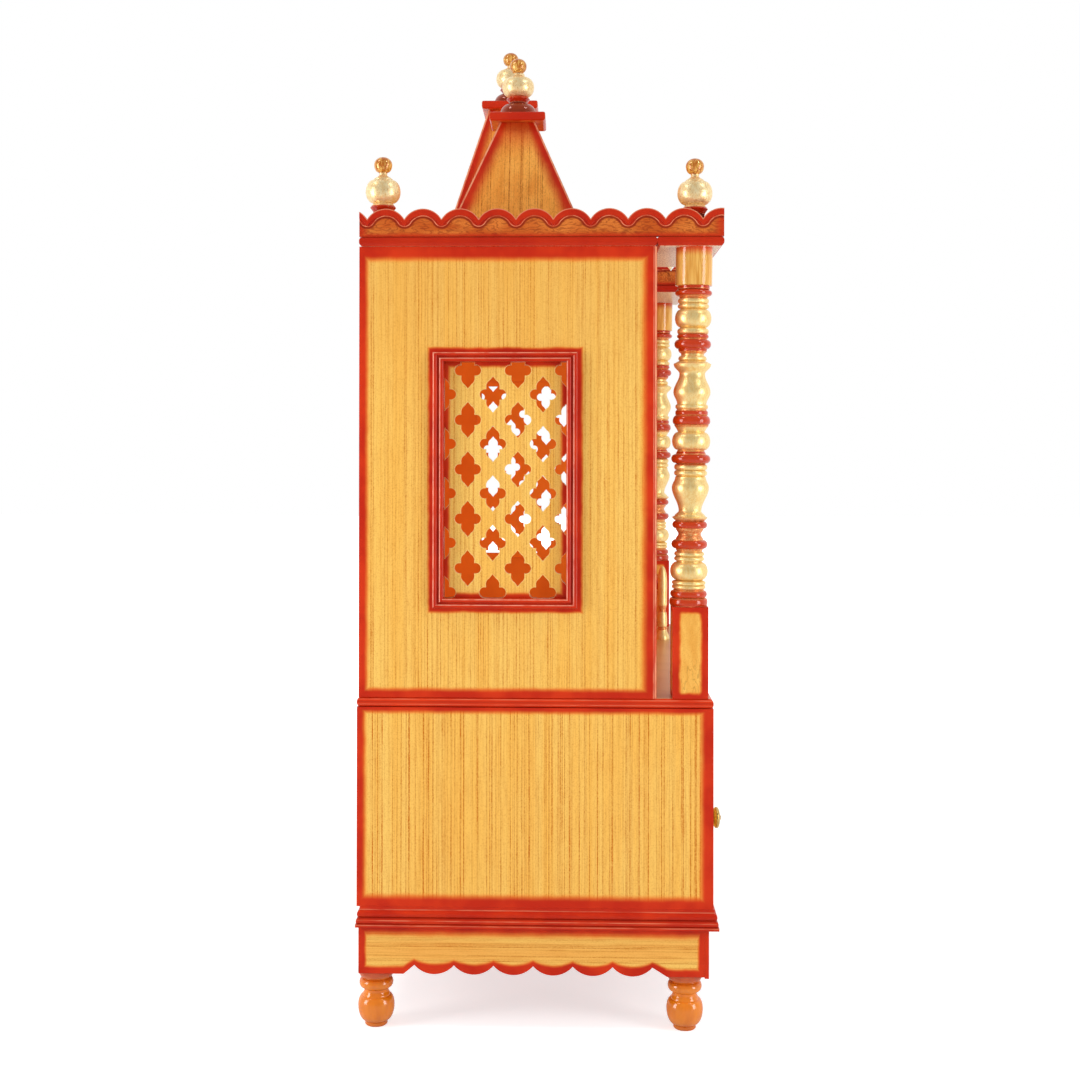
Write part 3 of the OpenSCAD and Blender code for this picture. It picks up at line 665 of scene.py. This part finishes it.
def dress_roof(node):
    """Red edges with a painted highlight along their foot and painted shade along their top, a
    pale speckled underside and a veneered top.
    """
    f = Finish(node + "_lacquer", roughness=0.28, specular=0.2)
    top, _ = lined_wood(f, "x", strength=0.4, seed=90.0)
    under = f.patchy(f.noise(2.6, 3.0, 7.1, 0.7), 0.47, 0.62, SOFFIT_PALE, SOFFIT_SPECK)
    low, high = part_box(node)
    up, down = f.minus(f.axis["z"], low.z), f.minus(high.z, f.axis["z"])
    red = f.mix(0.5, red_paint(f), RED_DULL)
    # A paler line along the edge's foot: painted highlight
    red = f.mix(f.fade(up, 0.6 * MM, 2.0 * MM, 0.45), red, tint(222, 84, 44))
    red = f.mix(f.fade(down, 0.0, 2.5 * MM, 0.6), red, RED_SHADE)
    colour = f.mix(f.rise(f.facing("z"), 0.9, 0.98), red, top)
    f.colour(f.mix(f.fade(f.facing("z"), -0.98, -0.9), colour, under))
    f.ripple(1.0, 2.9)
    give(node, f)


def dress_caps():
    """The towers' caps: red, with a painted highlight along their edges, and orange underneath.
    """
    f = Finish("tower_cap_lacquer", roughness=0.26, specular=0.25)
    under = f.patchy(f.noise(14, 2.0, 4.1), 0.3, 0.7, tint(222, 112, 48), tint(196, 78, 28))
    red = f.mix(0.4, red_paint(f), tint(178, 34, 12))
    colour = f.mix(f.fade(f.facing("z"), -0.98, -0.9), red, under)
    # A pale line along the edges: painted highlight
    edge_highlight = f.rise(f.near_edge(2.2), 0.02, 0.14, 0.65)
    f.colour(f.mix(edge_highlight, colour, tint(246, 178, 122)))
    f.ripple(1.6, 2.9)
    give("tower_caps", f)


def dress_bare_wood():
    f = Finish("bare_wood_finish", roughness=0.6, specular=0.3)
    colour, lines = lined_wood(f, "y", BARE_WOOD, BARE_DEEP, BARE_LINE, 0.25, 3.0)
    f.colour(colour)
    f.bump(lines, LINE_DEPTH)
    give("drawer_runners", f)
    give("cabinet_dividers", f)


# ---- Pierced windows and pedestals ----

def dress_jali(side):
    """A pierced board: veneer with pale rims of painted highlight round its holes, orange
    inside them, and the brown paint of the inside on its inward face."""
    node = "jali_" + side
    f = veneer_finish(node)
    colour, lines = lined_wood(f, "z", strength=0.6, seed=15.0)
    covered = 9
    red = edge_red(f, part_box(node), all_round("yz", covered + 2, covered + 11))
    colour = sprayed(f, colour, red)
    # Pale rims round the holes: painted highlight
    rim = f.mix(f.rise(f.near_edge(2.2), 0.01, 0.1, 0.85), colour, tint(255, 228, 150))
    towards = f.facing("x")
    cut = f.mix(red, tint(240, 160, 74), tint(150, 30, 8))
    colour = f.mix(f.rise(f.size(towards), 0.5, 0.8), cut, rim)
    inward = 1.0 if side == "left" else -1.0
    inner = f.rise(f.times(towards, inward), 0.5, 0.8)
    f.colour(f.mix(inner, colour, INSIDE_BROWN))
    f.bump(lines, LINE_DEPTH, ease=0.5)
    give(node, f)


def dress_pedestals():
    """Blocks with a gold panel in the middle of each face, in cathedral grain."""
    low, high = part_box("pedestals")
    width = high.y - low.y
    f = Finish("pedestal_veneer", roughness=0.36, specular=0.2)
    # Both blocks share one pattern, mirrored about the middle of the cabinet
    x = f.minus(f.size(f.axis["x"]), high.x - width / 2)
    y = f.minus(f.axis["y"], (low.y + high.y) / 2)
    up = f.minus(f.axis["z"], low.z)
    # Cathedral grain: arches that climb round the middle of each face, near its foot
    flat = f.plus(f.times(x, x), f.times(y, y))
    arch = f.plus(f.times(up, 9.0), f.times(flat, 1500.0))
    arch = f.plus(arch, f.times(f.noise(along("z", 9, 30), 3.0, 2.7), 1.2))
    rings = growth_rings(f, arch, 3.4)
    wood = f.patchy(f.noise(along("z", 10, 40), 3.0, 6.1), 0.3, 0.7,
                    tint(255, 199, 98), tint(242, 174, 76))
    seen = f.step(up, 42 * MM, 62 * MM, 0.42, 0.05)
    wood = f.mix(f.times(f.fade(rings, 0.0, 0.16), seen), wood, tint(170, 98, 30))
    speck = f.rise(f.noise(1.6, 1.0, 9.2), 0.46, 0.76, 0.3)
    wood = f.mix(speck, wood, VENEER_LINE)
    across = f.calc("MAXIMUM", *(f.minus(width / 2, f.size(v)) for v in (x, y)))
    ends = f.calc("MINIMUM", up, f.minus(high.z, f.axis["z"]))
    # The gold panel left in the middle of a face has round corners
    side_in = f.calc("MAXIMUM", 0.0, f.minus(15 * MM, across))
    end_in = f.calc("MAXIMUM", 0.0, f.minus(12 * MM, ends))
    corner = f.plus(f.length(side_in, end_in), f.drift(18, 5, 8.3))
    f.colour(sprayed(f, wood, f.rise(corner, 0.5 * MM, 8.5 * MM)))
    f.bump(rings, 0.03, ease=1.6)
    give("pedestals", f)


# ---- Turned pieces ----

BEAD, OGEE, SWELL, FALL = range(4)
TURN_STEPS = 9
TURN_SIDES = 56
SMOOTH_ANGLE = math.radians(32)

# Outlines of the turned pieces: stations of (height, radius, shape, bulge) in millimetres,
# from the foot up. The shape, and a bead's bulge, are those of the stretch above the station.
# Without a shape, that stretch is straight.
PILLAR_TALL = 515.5
PILLAR_LEAN = math.radians(0.88)
PILLAR = [
    (0, 25.5, BEAD, 2), (11, 25.5),
    (12, 22.5, BEAD, 4), (22, 22.5),
    (24, 21, BEAD, 3.5), (30, 21, BEAD, 3.5), (36, 21),
    (37, 18, BEAD, 9.2), (63, 18),
    (64, 18, BEAD, 3.7), (71, 18, BEAD, 3.7), (78, 18),
    (82, 20, BEAD, 6), (95, 20, OGEE),
    (103, 16.3, OGEE), (111, 20, BEAD, 5.2), (122, 20),
    (123, 22), (127, 26), (129, 22, OGEE),
    (136.3, 16.2, OGEE), (170.3, 26.7, OGEE), (185, 22),
    (187, 20, BEAD, 3.8), (195, 20, BEAD, 3.8), (204, 20),
    (205, 22, BEAD, 6.2), (218, 22),
    (224, 19, BEAD, 8.5), (250, 19),
    (254, 21), (260, 25),
    (261, 24, BEAD, 4), (274, 22, BEAD, 1.5), (281, 22),
    (283, 21, BEAD, 2.5), (290, 21, OGEE),
    (307.5, 26.7, OGEE), (334, 18.3, OGEE),
    (346, 26.5), (348, 27.2), (350, 24),
    (353, 18, BEAD, 3), (360, 16.5), (363, 16.5),
    (366, 20), (370, 21, BEAD, 5.4), (383, 21),
    (385, 20, BEAD, 2.8), (391, 20, BEAD, 2.6), (399, 20),
    (401, 18, BEAD, 8.2), (427, 18),
    (428, 19, BEAD, 3.6), (435, 19, BEAD, 3.2), (443, 19),
    (446, 21, BEAD, 5.7), (455, 21),
    (456, 23), (460, 23), (461, 26.4), (PILLAR_TALL, 26.4)]
PILLAR_RED = [(0.5, 10.5), (12.5, 21.5), (82, 94.5), (112, 121.5), (205, 218), (219, 222),
              (261, 273), (275, 280.5), (366.5, 383), (385.5, 390.5), (446.5, 455.5),
              (456.5, 460.5)]
PILLAR_MIST = [(10, 13), (21, 24), (79, 82), (94, 112), (121, 124), (202, 205), (218, 221),
               (257, 282), (362, 392), (442, 461)]
CAPITAL_FROM = 460.5
NEWEL = [
    (0, 13), (3, 13, OGEE), (19, 8, BEAD, 1.5), (23, 7.5, BEAD, 1.8), (52, 6.5),
    (54, 6.4, OGEE), (68, 8.6), (108, 8.6, FALL), (136, 1)]
NEWEL_MIST = [(18, 24), (51, 63)]
SPINDLE = [
    (0, 6), (6, 6, OGEE), (14, 3.5, BEAD, 1.5), (18, 3.5, OGEE), (45, 6, OGEE),
    (74, 3.5, BEAD, 1.5), (78, 3.5, OGEE), (92, 6)]
SPINDLE_MIST = [(13, 19), (73, 79)]
FOOT = [
    (0, 15), (1.5, 16.3), (5.5, 16.4), (6.5, 15.6, SWELL),
    (28.5, 26.4, FALL), (43, 20.3, OGEE), (50, 17.4), (52.5, 17.4),
    (54.5, 19.8, BEAD, 4.6), (68, 20.2), (70, 22.5), (76, 26),
    (78, 26.4), (82, 26.4)]
TOWER_FINIAL = [
    (0, 28), (6, 28, FALL), (20, 13), (21.5, 13), (27.5, 18.6),
    (31.5, 15.4), (31.6, 13.5, SWELL), (47, 25.2, FALL), (62, 12.5, OGEE),
    (67, 6), (70, 6.2, SWELL), (80.5, 13.3, FALL), (92, 1)]
CORNER_FOOT = [(0, 17), (5, 17, FALL), (12, 12.5), (22, 11.5)]
CORNER_HEAD = [
    (40.7, 14.6), (46.5, 18.9), (49, 17.2), (53.3, 13.6, SWELL),
    (69.4, 25.3, FALL), (86.5, 14.5, OGEE), (95, 5.8), (98, 6.2, SWELL),
    (109.2, 13.2, FALL), (120.4, 1)]
# How much lower the front corners' finials sit
FRONT_DROP = 3.8
KNOB = [
    (0, 14), (2, 14, BEAD, 1), (5, 9, OGEE), (10, 6), (12, 6, OGEE),
    (16, 14, BEAD, 2), (22, 14, OGEE), (26, 3)]


def curve_points(a, b):
    """Points between two stations of a turned outline."""
    points = []
    if len(a) == 2:
        return points
    shape = a[2]
    for i in range(1, TURN_STEPS):
        t = i / TURN_STEPS
        if shape == BEAD:
            part = (1 - math.cos(math.pi * t)) / 2
            radius = a[1] + (b[1] - a[1]) * part + a[3] * math.sin(math.pi * t)
            points.append((radius, a[0] + (b[0] - a[0]) * part))
        elif shape == OGEE:
            part = (1 - math.cos(math.pi * t)) / 2
            points.append((a[1] + (b[1] - a[1]) * part, a[0] + (b[0] - a[0]) * t))
        elif shape in (SWELL, FALL):
            out, up = math.sin(math.pi / 2 * t), 1 - math.cos(math.pi / 2 * t)
            if shape == FALL:
                out, up = up, out
            points.append((a[1] + (b[1] - a[1]) * out, a[0] + (b[0] - a[0]) * up))
    return points


def outline(stations):
    points = [(0.0, stations[0][0])]
    for a, b in zip(stations, stations[1:] + [None]):
        points.append((a[1], a[0]))
        if b:
            points += curve_points(a, b)
    points.append((0.0, stations[-1][0]))
    return [(r * MM, z * MM) for r, z in points]


def widest(stations):
    return max(station[1] for station in stations) * MM


def clear_selection():
    if bpy.context.object and bpy.context.object.mode != "OBJECT":
        bpy.ops.object.mode_set(mode="OBJECT")
    bpy.ops.object.select_all(action="DESELECT")


def turn(name, stations):
    """A piece turned on the lathe, standing on the origin: an outline is drawn point by point,
    spun round the axis, and closed at its ends."""
    clear_selection()
    points = outline(stations)
    bpy.ops.mesh.primitive_plane_add(size=MM, location=(points[0][0], 0, points[0][1]))
    piece = bpy.context.object
    piece.name = piece.data.name = name
    bpy.ops.object.mode_set(mode="EDIT")
    bpy.ops.mesh.select_all(action="SELECT")
    bpy.ops.mesh.merge(type="CENTER")
    for (r0, z0), (r1, z1) in zip(points, points[1:]):
        bpy.ops.mesh.extrude_region_move(
            TRANSFORM_OT_translate={"value": (r1 - r0, 0, z1 - z0)})
    bpy.ops.mesh.select_all(action="SELECT")
    bpy.ops.mesh.spin(steps=TURN_SIDES, angle=2 * math.pi, center=(0, 0, 0), axis=(0, 0, 1))
    bpy.ops.mesh.select_all(action="SELECT")
    bpy.ops.mesh.remove_doubles(threshold=0.02 * MM)
    bpy.ops.mesh.normals_make_consistent(inside=False)
    bpy.ops.object.mode_set(mode="OBJECT")
    bpy.ops.object.transform_apply(location=True, rotation=True, scale=True)
    bpy.ops.object.shade_smooth_by_angle(angle=SMOOTH_ANGLE)
    return piece


def copy_to(piece, name, matrix):
    """A copy of a piece with a mesh of its own, whose place is in that mesh."""
    copy = bpy.data.objects.new(name, piece.data.copy())
    copy.data.name = name
    copy.data.transform(matrix)
    bpy.context.collection.objects.link(copy)
    return copy


def set_down(piece, finish, node, body="shrine"):
    """Finishes a piece, and puts it on its body in the place of its CAD node."""
    piece.data.materials.clear()
    piece.data.materials.append(finish.material)
    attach(piece, body)
    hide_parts(node)


def discard(piece):
    bpy.data.objects.remove(piece)


def metal_share(f, dull, most):
    """Less metal where the paint is duller."""
    return f.times(f.minus(1.0, dull), most)


def gold_and_red(name, red_spans, base, mist_spans, wood_from=None):
    """Pearly gold paint with red rings and orange mist at these heights over `base`, in
    millimetres, and bare wood above `wood_from`."""
    f = Finish(name, specular=0.5)
    height = f.minus(f.axis["z"], base)
    wobble = f.drift(5, 1.6, 1.4)
    painted = f.plus(height, wobble)
    red = f.bands(painted, red_spans)
    mist = f.times(f.bands(painted, [(a - 3, b + 3) for a, b in red_spans], 4.0), 0.45)
    grainy = f.step(f.noise(1.8, 2.0, 8.2), 0.36, 0.6, 0.4, 0.9)
    mist = f.calc("MAXIMUM", mist, f.times(grainy, f.bands(painted, mist_spans, 1.5)))
    brush = f.noise((3, 3, 7), 4.0, 2.6, 0.65)
    gold = f.patchy(brush, 0.32, 0.7, GOLD_LIGHT, GOLD_DEEP)
    gold = f.mix(f.rise(f.noise(1.5, 2.0, 5.2), 0.56, 0.74, 0.35), gold, tint(186, 128, 52))
    gold = f.mix(mist, gold, tint(224, 104, 44))
    colour = f.mix(red, gold, f.mix(0.7, red_paint(f), tint(196, 62, 16)))
    metal = metal_share(f, red, PEARL)
    rough = f.step(red, 0.0, 1.0, 0.36, 0.11)
    if wood_from is not None:
        wood = f.rise(height, (wood_from - 1) * MM, (wood_from + 1) * MM)
        streak = f.noise(along("z", 3.0, 50), 3.0, 4.4)
        grain = f.patchy(streak, 0.35, 0.68, CAPITAL_WOOD, tint(218, 148, 58))
        top = f.rise(f.plus(painted, wobble), (wood_from + 40) * MM, (wood_from + 54) * MM, 0.9)
        colour = f.mix(wood, colour, f.mix(top, grain, red_paint(f)))
        metal = f.times(metal, f.minus(1.0, wood))
        rough = f.calc("MAXIMUM", f.minus(rough, f.times(wood, 0.3)), 0.1)
    f.colour(colour)
    f.feed(f.surface.inputs["Metallic"], metal)
    f.feed(f.surface.inputs["Roughness"], rough)
    f.bump(brush, 0.03)
    return f


def place_pillars():
    low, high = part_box("pedestals")
    pillar_low, pillar_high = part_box("pillar_left")
    half = (high.y - low.y) / 2
    back_shift = 1.2 * MM
    foot_z = pillar_low.z
    # The blank is a little longer than the pillar, and is cut off level once it leans
    foot_radius, top_radius = PILLAR[0][1], PILLAR[-1][1]
    spare = 3
    pillar = turn("pillar_blank", [(-spare, foot_radius)] + PILLAR
                  + [(PILLAR_TALL + spare, top_radius)])
    f = gold_and_red("pillar_paint", PILLAR_RED, foot_z, PILLAR_MIST, CAPITAL_FROM)
    for side, x in (("left", low.x + half), ("right", high.x - half)):
        foot = Vector((x, low.y + half + back_shift, foot_z))
        matrix = Matrix.Translation(foot) @ Matrix.Rotation(PILLAR_LEAN, 4, "X")
        piece = copy_to(pillar, "turned_pillar_" + side, matrix)
        level_ends(piece, foot_z, pillar_high.z)
        set_down(piece, f, "pillar_" + side)
    discard(pillar)


def level_ends(piece, low, high):
    """Cuts a leaning piece off level, where it stands and where it meets the roof."""
    clear_selection()
    piece.select_set(True)
    bpy.context.view_layer.objects.active = piece
    for height, upper in ((low, False), (high, True)):
        bpy.ops.object.mode_set(mode="EDIT")
        bpy.ops.mesh.select_all(action="SELECT")
        bpy.ops.mesh.bisect(plane_co=(0, 0, height), plane_no=(0, 0, 1), use_fill=True,
                            clear_inner=not upper, clear_outer=upper)
        bpy.ops.object.mode_set(mode="OBJECT")
    bpy.ops.object.shade_smooth_by_angle(angle=SMOOTH_ANGLE)


def place_feet():
    low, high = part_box("feet")
    reach = widest(FOOT)
    foot = turn("foot_blank", FOOT)
    f = Finish("amber_lacquer_finish", roughness=0.15, specular=0.65)
    height = f.plus(f.axis["z"], f.drift(12, 8, 7.4))
    amber = f.patchy(f.noise(along("z", 12, 40), 2.0, 3.8), 0.3, 0.7, AMBER,
                     tint(228, 122, 20))
    amber = f.mix(f.fade(height, 5 * MM, 14 * MM, 0.35), amber, tint(190, 80, 10))
    f.colour(f.mix(f.rise(height, 58 * MM, 80 * MM, 0.85), amber, AMBER_RED))
    # Each foot is turned a little further round than the last
    turned = 0.7
    for i, (end, side) in enumerate((e, s) for e in ("back", "front")
                                    for s in ("left", "right")):
        x = low.x + reach if side == "left" else high.x - reach
        y = high.y - reach if end == "back" else low.y + reach
        piece = copy_to(foot, f"turned_foot_{end}_{side}",
                        Matrix.Translation((x, y, 0)) @ Matrix.Rotation(turned * i, 4, "Z"))
        set_down(piece, f, "feet")
    discard(foot)


def finial_paint(name, base, ring, neck, top):
    """Gold with a red ring, and a small amber ball over the neck."""
    f = Finish(name)
    height = f.minus(f.axis["z"], base)
    red = f.bands(height, [ring])
    ball = f.rise(height, (neck - 0.5) * MM, (neck + 2.0) * MM)
    brush = f.noise((4, 4, 6), 4.0, 6.2, 0.65)
    gold = f.patchy(brush, 0.32, 0.7, tint(255, 236, 186), tint(244, 205, 140))
    leaf = f.rise(f.noise((2, 2, 3), 3.0, 8.1), 0.52, 0.66, 0.4)
    gold = f.mix(leaf, gold, tint(190, 132, 52))
    # Darker towards the neck under the ring: painted shade over the foot's own dark red
    neck_shade = f.rise(height, (ring[0] - 8) * MM, (ring[0] - 1) * MM, 0.7)
    under = f.calc("LESS_THAN", height, ring[0] * MM)
    gold = f.mix(under, gold, f.mix(neck_shade, tint(150, 52, 16), tint(104, 22, 8)))
    streak = f.noise((3, 3, 12), 3.0, 4.9)
    ball_wood = f.patchy(streak, 0.35, 0.6, tint(238, 184, 92), tint(190, 106, 32))
    crown = f.rise(height, (top - 7) * MM, (top - 1) * MM, 0.4)
    ball_wood = f.mix(crown, ball_wood, tint(196, 84, 34))
    colour = f.mix(red, gold, f.mix(0.5, red_paint(f), tint(160, 30, 14)))
    f.colour(f.mix(ball, colour, ball_wood))
    dull = f.strongest([red, f.times(ball, 0.75), f.times(under, 0.8)])
    f.feed(f.surface.inputs["Metallic"], metal_share(f, dull, FINIAL_PEARL))
    f.feed(f.surface.inputs["Roughness"], f.step(dull, 0.0, 1.0, 0.36, 0.13))
    f.bump(brush, 0.05)
    return f


def place_finials():
    place_tower_finials()
    for end, drop in (("back", 0.0), ("front", FRONT_DROP)):
        place_corner_finials(end, drop)


def place_tower_finials():
    blank = turn("finial_blank", TOWER_FINIAL)
    low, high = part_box("tower_finials")
    centre_z = high.z - TOWER_FINIAL[-1][0] * MM
    cap_thickness = 14 * MM
    cap_low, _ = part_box("tower_caps")
    side_z = cap_low.z + cap_thickness
    side_paint, centre_paint = (
        finial_paint(name + "_finial_paint", base, (22, 31.5), 68, 92)
        for name, base in (("side", side_z), ("centre", centre_z)))
    reach = widest(TOWER_FINIAL)
    for side, x, y, z, paint in (
            ("left", low.x + reach, low.y + reach, side_z, side_paint),
            ("right", high.x - reach, low.y + reach, side_z, side_paint),
            ("centre", 0.0, high.y - reach, centre_z, centre_paint)):
        piece = copy_to(blank, "turned_finial_" + side, Matrix.Translation((x, y, z)))
        set_down(piece, paint, "tower_finials")
    discard(blank)


def place_corner_finials(end, drop):
    """The two corner finials at one end, with their heads lower by `drop`."""
    low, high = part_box("corner_finials")
    reach = widest(CORNER_HEAD)
    y = high.y - reach if end == "back" else low.y + reach
    head = [(station[0] - drop,) + station[1:] for station in CORNER_HEAD]
    blank = turn("corner_finial_blank", CORNER_FOOT + head)
    paint = finial_paint(f"corner_finial_paint_{end}", low.z, (39.5 - drop, 49 - drop),
                         96 - drop, 120.4 - drop)
    for side, x in (("left", low.x + reach), ("right", high.x - reach)):
        piece = copy_to(blank, f"corner_finial_{end}_{side}",
                        Matrix.Translation((x, y, low.z)))
        set_down(piece, paint, "corner_finials")
    discard(blank)


def rail(name, start, end, width, height):
    """A handrail with rounded edges, along X."""
    clear_selection()
    bpy.ops.mesh.primitive_cube_add(size=1.0, location=(start + end) / 2)
    piece = bpy.context.object
    piece.name = piece.data.name = name
    piece.scale = (abs(end.x - start.x), width, height)
    bpy.ops.object.transform_apply(location=True, rotation=True, scale=True)
    soft = piece.modifiers.new("soft", "BEVEL")
    soft.width = 4.5 * MM
    soft.segments = 4
    bpy.ops.object.modifier_apply(modifier=soft.name)
    bpy.ops.object.shade_smooth_by_angle(angle=SMOOTH_ANGLE)
    return piece


def place_balustrades():
    newel = turn("newel_blank", NEWEL)
    spindle = turn("spindle_blank", SPINDLE)
    low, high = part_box("newels")
    floor = low.z
    y = (low.y + high.y) / 2
    newel_paint = gold_and_red("railing_paint", [], floor, NEWEL_MIST)
    spindle_paint = gold_and_red("spindle_paint", [], floor, SPINDLE_MIST)
    rail_paint = red_lacquer("railing_lacquer")
    reach = widest(NEWEL)
    rail_height, rail_width = 14 * MM, 22 * MM
    spindles = 4
    for side, x in (("left", low.x + reach), ("right", high.x - reach)):
        node = "balustrade_" + side
        piece = copy_to(newel, "turned_newel_" + side, Matrix.Translation((x, y, floor)))
        set_down(piece, newel_paint, "newels")
        rail_low, rail_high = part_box(node)
        middle_z = rail_high.z - rail_height / 2
        top = rail("railing_top_" + side, Vector((rail_low.x, y, middle_z)),
                   Vector((rail_high.x, y, middle_z)), rail_width, rail_height)
        set_down(top, rail_paint, node)
        span = rail_high.x - rail_low.x
        for i in range(1, spindles + 1):
            at = Matrix.Translation((rail_low.x + span * i / (spindles + 1), y, floor))
            post = copy_to(spindle, f"turned_spindle_{side}_{i}", at)
            set_down(post, spindle_paint, node)
    discard(newel)
    discard(spindle)


def place_knobs():
    knob = turn("knob_blank", KNOB)
    f = Finish("brass_polish", roughness=0.22, metallic=1.0)
    f.colour(f.patchy(f.noise(6, 3.0, 2.1), 0.35, 0.7, BRASS, tint(176, 136, 70)))
    f.bump(f.noise(1.2, 2.0, 3.4), 0.02)
    for side in ("left", "middle", "right"):
        low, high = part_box("knob_" + side)
        base = Vector(((low.x + high.x) / 2, high.y, (low.z + high.z) / 2))
        piece = copy_to(knob, "turned_knob_" + side, Matrix.Translation(base)
                        @ Matrix.Rotation(math.radians(90), 4, "X"))
        set_down(piece, f, "knob_" + side, f"drawer_{side}_body")
    discard(knob)


# ---- Room ----

WHITE = (1, 1, 1, 1)
FLOOR_PALE = (0.72, 0.72, 0.72, 1)
FLOOR_WIDTH = 30.0


def mirrored(f, path):
    """1 for what gloss and metal mirror, and for what glass lets through."""
    return f.calc("MAXIMUM", path["Is Glossy Ray"], path["Is Transmission Ray"])


def ramp(f, value, limits):
    """Goes evenly from the third limit, where the value is the first one, to the fourth, where
    it is the second one."""
    node = f.new("MapRange")
    for socket, given in zip(node.inputs, (value,) + limits):
        f.feed(socket, given)
    return node.outputs[0]


def make_floor():
    """A pale floor that glows white to the eye, less so under the cabinet, and that gloss and
    metal show as bright towards the far side."""
    clear_selection()
    bpy.ops.mesh.primitive_plane_add(size=FLOOR_WIDTH, location=(0, 0, 0))
    floor = bpy.context.object
    floor.name = floor.data.name = "studio_floor"
    material = bpy.data.materials.new("studio_floor_white")
    f = Nodes(material)
    paint, glow, both, far = (
        f.new(kind) for kind in ("BsdfDiffuse", "Emission", "AddShader", "VectorMath"))
    paint.inputs["Color"].default_value = FLOOR_PALE
    far.operation = "LENGTH"
    f.links.new(f.place, far.inputs[0])
    path = f.new("LightPath").outputs
    near_glow, far_glow, room_glow = 0.62, 1.0, 0.5
    spread = ramp(f, far.outputs["Value"], (0.4, 2.6, near_glow, far_glow))
    room = ramp(f, f.axis["x"], (-1.2, 0.6, 0.0, room_glow))
    seen = f.times(spread, path["Is Camera Ray"])
    shown = f.times(room, mirrored(f, path))
    f.links.new(f.plus(seen, shown), glow.inputs["Strength"])
    for shader, socket in zip((paint, glow), both.inputs):
        f.links.new(shader.outputs[0], socket)
    f.links.new(both.outputs[0], f.new("OutputMaterial").inputs["Surface"])
    floor.data.materials.append(material)


def backdrop(f, limits):
    """White light whose strength depends on how far its direction points past the far side."""
    light = f.new("Background")
    light.inputs["Color"].default_value = WHITE
    f.links.new(ramp(f, f.axis["x"], limits), light.inputs["Strength"])
    return light


def make_world():
    """White to the eye. The light comes from a bright backdrop past the far side and a dimmer
    room on the near side, and gloss and metal show the same backdrop and room."""
    world = bpy.data.worlds.new("studio")
    bpy.context.scene.world = world
    f = Nodes(world, "Generated")
    path = f.new("LightPath").outputs
    white = f.new("Background")
    white.inputs["Color"].default_value = WHITE
    room_light, backdrop_light = 0.42, 0.95
    room_gloss, backdrop_gloss = 0.3, 1.0
    light = backdrop(f, (-0.5, 0.6, room_light, backdrop_light))
    gloss = backdrop(f, (-0.35, 0.35, room_gloss, backdrop_gloss))
    last = light.outputs[0]
    for ray, shader in ((mirrored(f, path), gloss), (path["Is Camera Ray"], white)):
        pick = f.new("MixShader")
        for socket, given in zip(pick.inputs, (ray, last, shader.outputs[0])):
            f.links.new(given, socket)
        last = pick.outputs[0]
    f.links.new(last, f.new("OutputWorld").inputs["Surface"])


def softbox(name, place, target, width, height, power):
    lamp = bpy.data.lights.new(name, "AREA")
    lamp.shape = "RECTANGLE"
    lamp.size, lamp.size_y = width, height
    lamp.energy = power
    holder = bpy.data.objects.new(name, lamp)
    holder.location = place
    holder.rotation_euler = (target - place).to_track_quat("-Z", "Y").to_euler()
    bpy.context.collection.objects.link(holder)


def make_lamps():
    """A tall soft box towards the back and one towards the front of the near side, and a small
    one high over each."""
    middle = Vector((-0.3, -0.05, 0.85))
    rise, high_rise = Vector((0, 0, 0.05)), Vector((0, 0, 2.2))
    reach, high_reach = 2.7, 1.9
    wide, tall, small = 0.85, 1.7, 0.5
    high_power = 10
    for name, turned, power in (("softbox_back", 66, 37), ("softbox_front", -60, 33)):
        azimuth = math.radians(turned)
        level = Vector((-math.cos(azimuth), math.sin(azimuth), 0))
        softbox(name, middle + reach * level + rise, middle, wide, tall, power)
        softbox(name + "_high", middle + high_reach * level + high_rise, middle, small, small,
                high_power)


def make_camera():
    """A camera on the left side, turned a little back and nearly level."""
    camera = bpy.data.cameras.new("camera")
    camera.lens = 50.29
    camera.sensor_width = 36.0
    camera.shift_x, camera.shift_y = 0.01397, -0.08997
    holder = bpy.data.objects.new("camera", camera)
    turned_back, tipped_up, rolled = (math.radians(a) for a in (1.745, 0.0708, 0.088))
    quarter = math.radians(90)
    stand = Matrix.Translation((-2.61456, -0.03898, 0.84149))
    aim = (Matrix.Rotation(turned_back - quarter, 4, "Z")
           @ Matrix.Rotation(quarter + tipped_up, 4, "X") @ Matrix.Rotation(rolled, 4, "Z"))
    holder.matrix_world = stand @ aim
    bpy.context.collection.objects.link(holder)
    bpy.context.scene.camera = holder


make_world()
make_floor()
make_lamps()
make_camera()
dress_boards()
dress_scallops()
# Half of each tower's width at its top, and a number of its own for its grain
dress_tower("tower_left", 27.5 * MM, 110.0)
dress_tower("tower_centre", 36.5 * MM, 120.0)
dress_tower("tower_right", 27.5 * MM, 130.0)
dress_window_frame("left")
dress_window_frame("right")
dress_plinth()
dress_platform()
dress_roof("roof_main")
dress_roof("roof_wings")
dress_caps()
dress_bare_wood()
dress_jali("left")
dress_jali("right")
dress_pedestals()
place_pillars()
place_feet()
place_finials()
place_balustrades()
place_knobs()

bpy.context.scene.view_settings.view_transform = "Standard"
clear_selection()
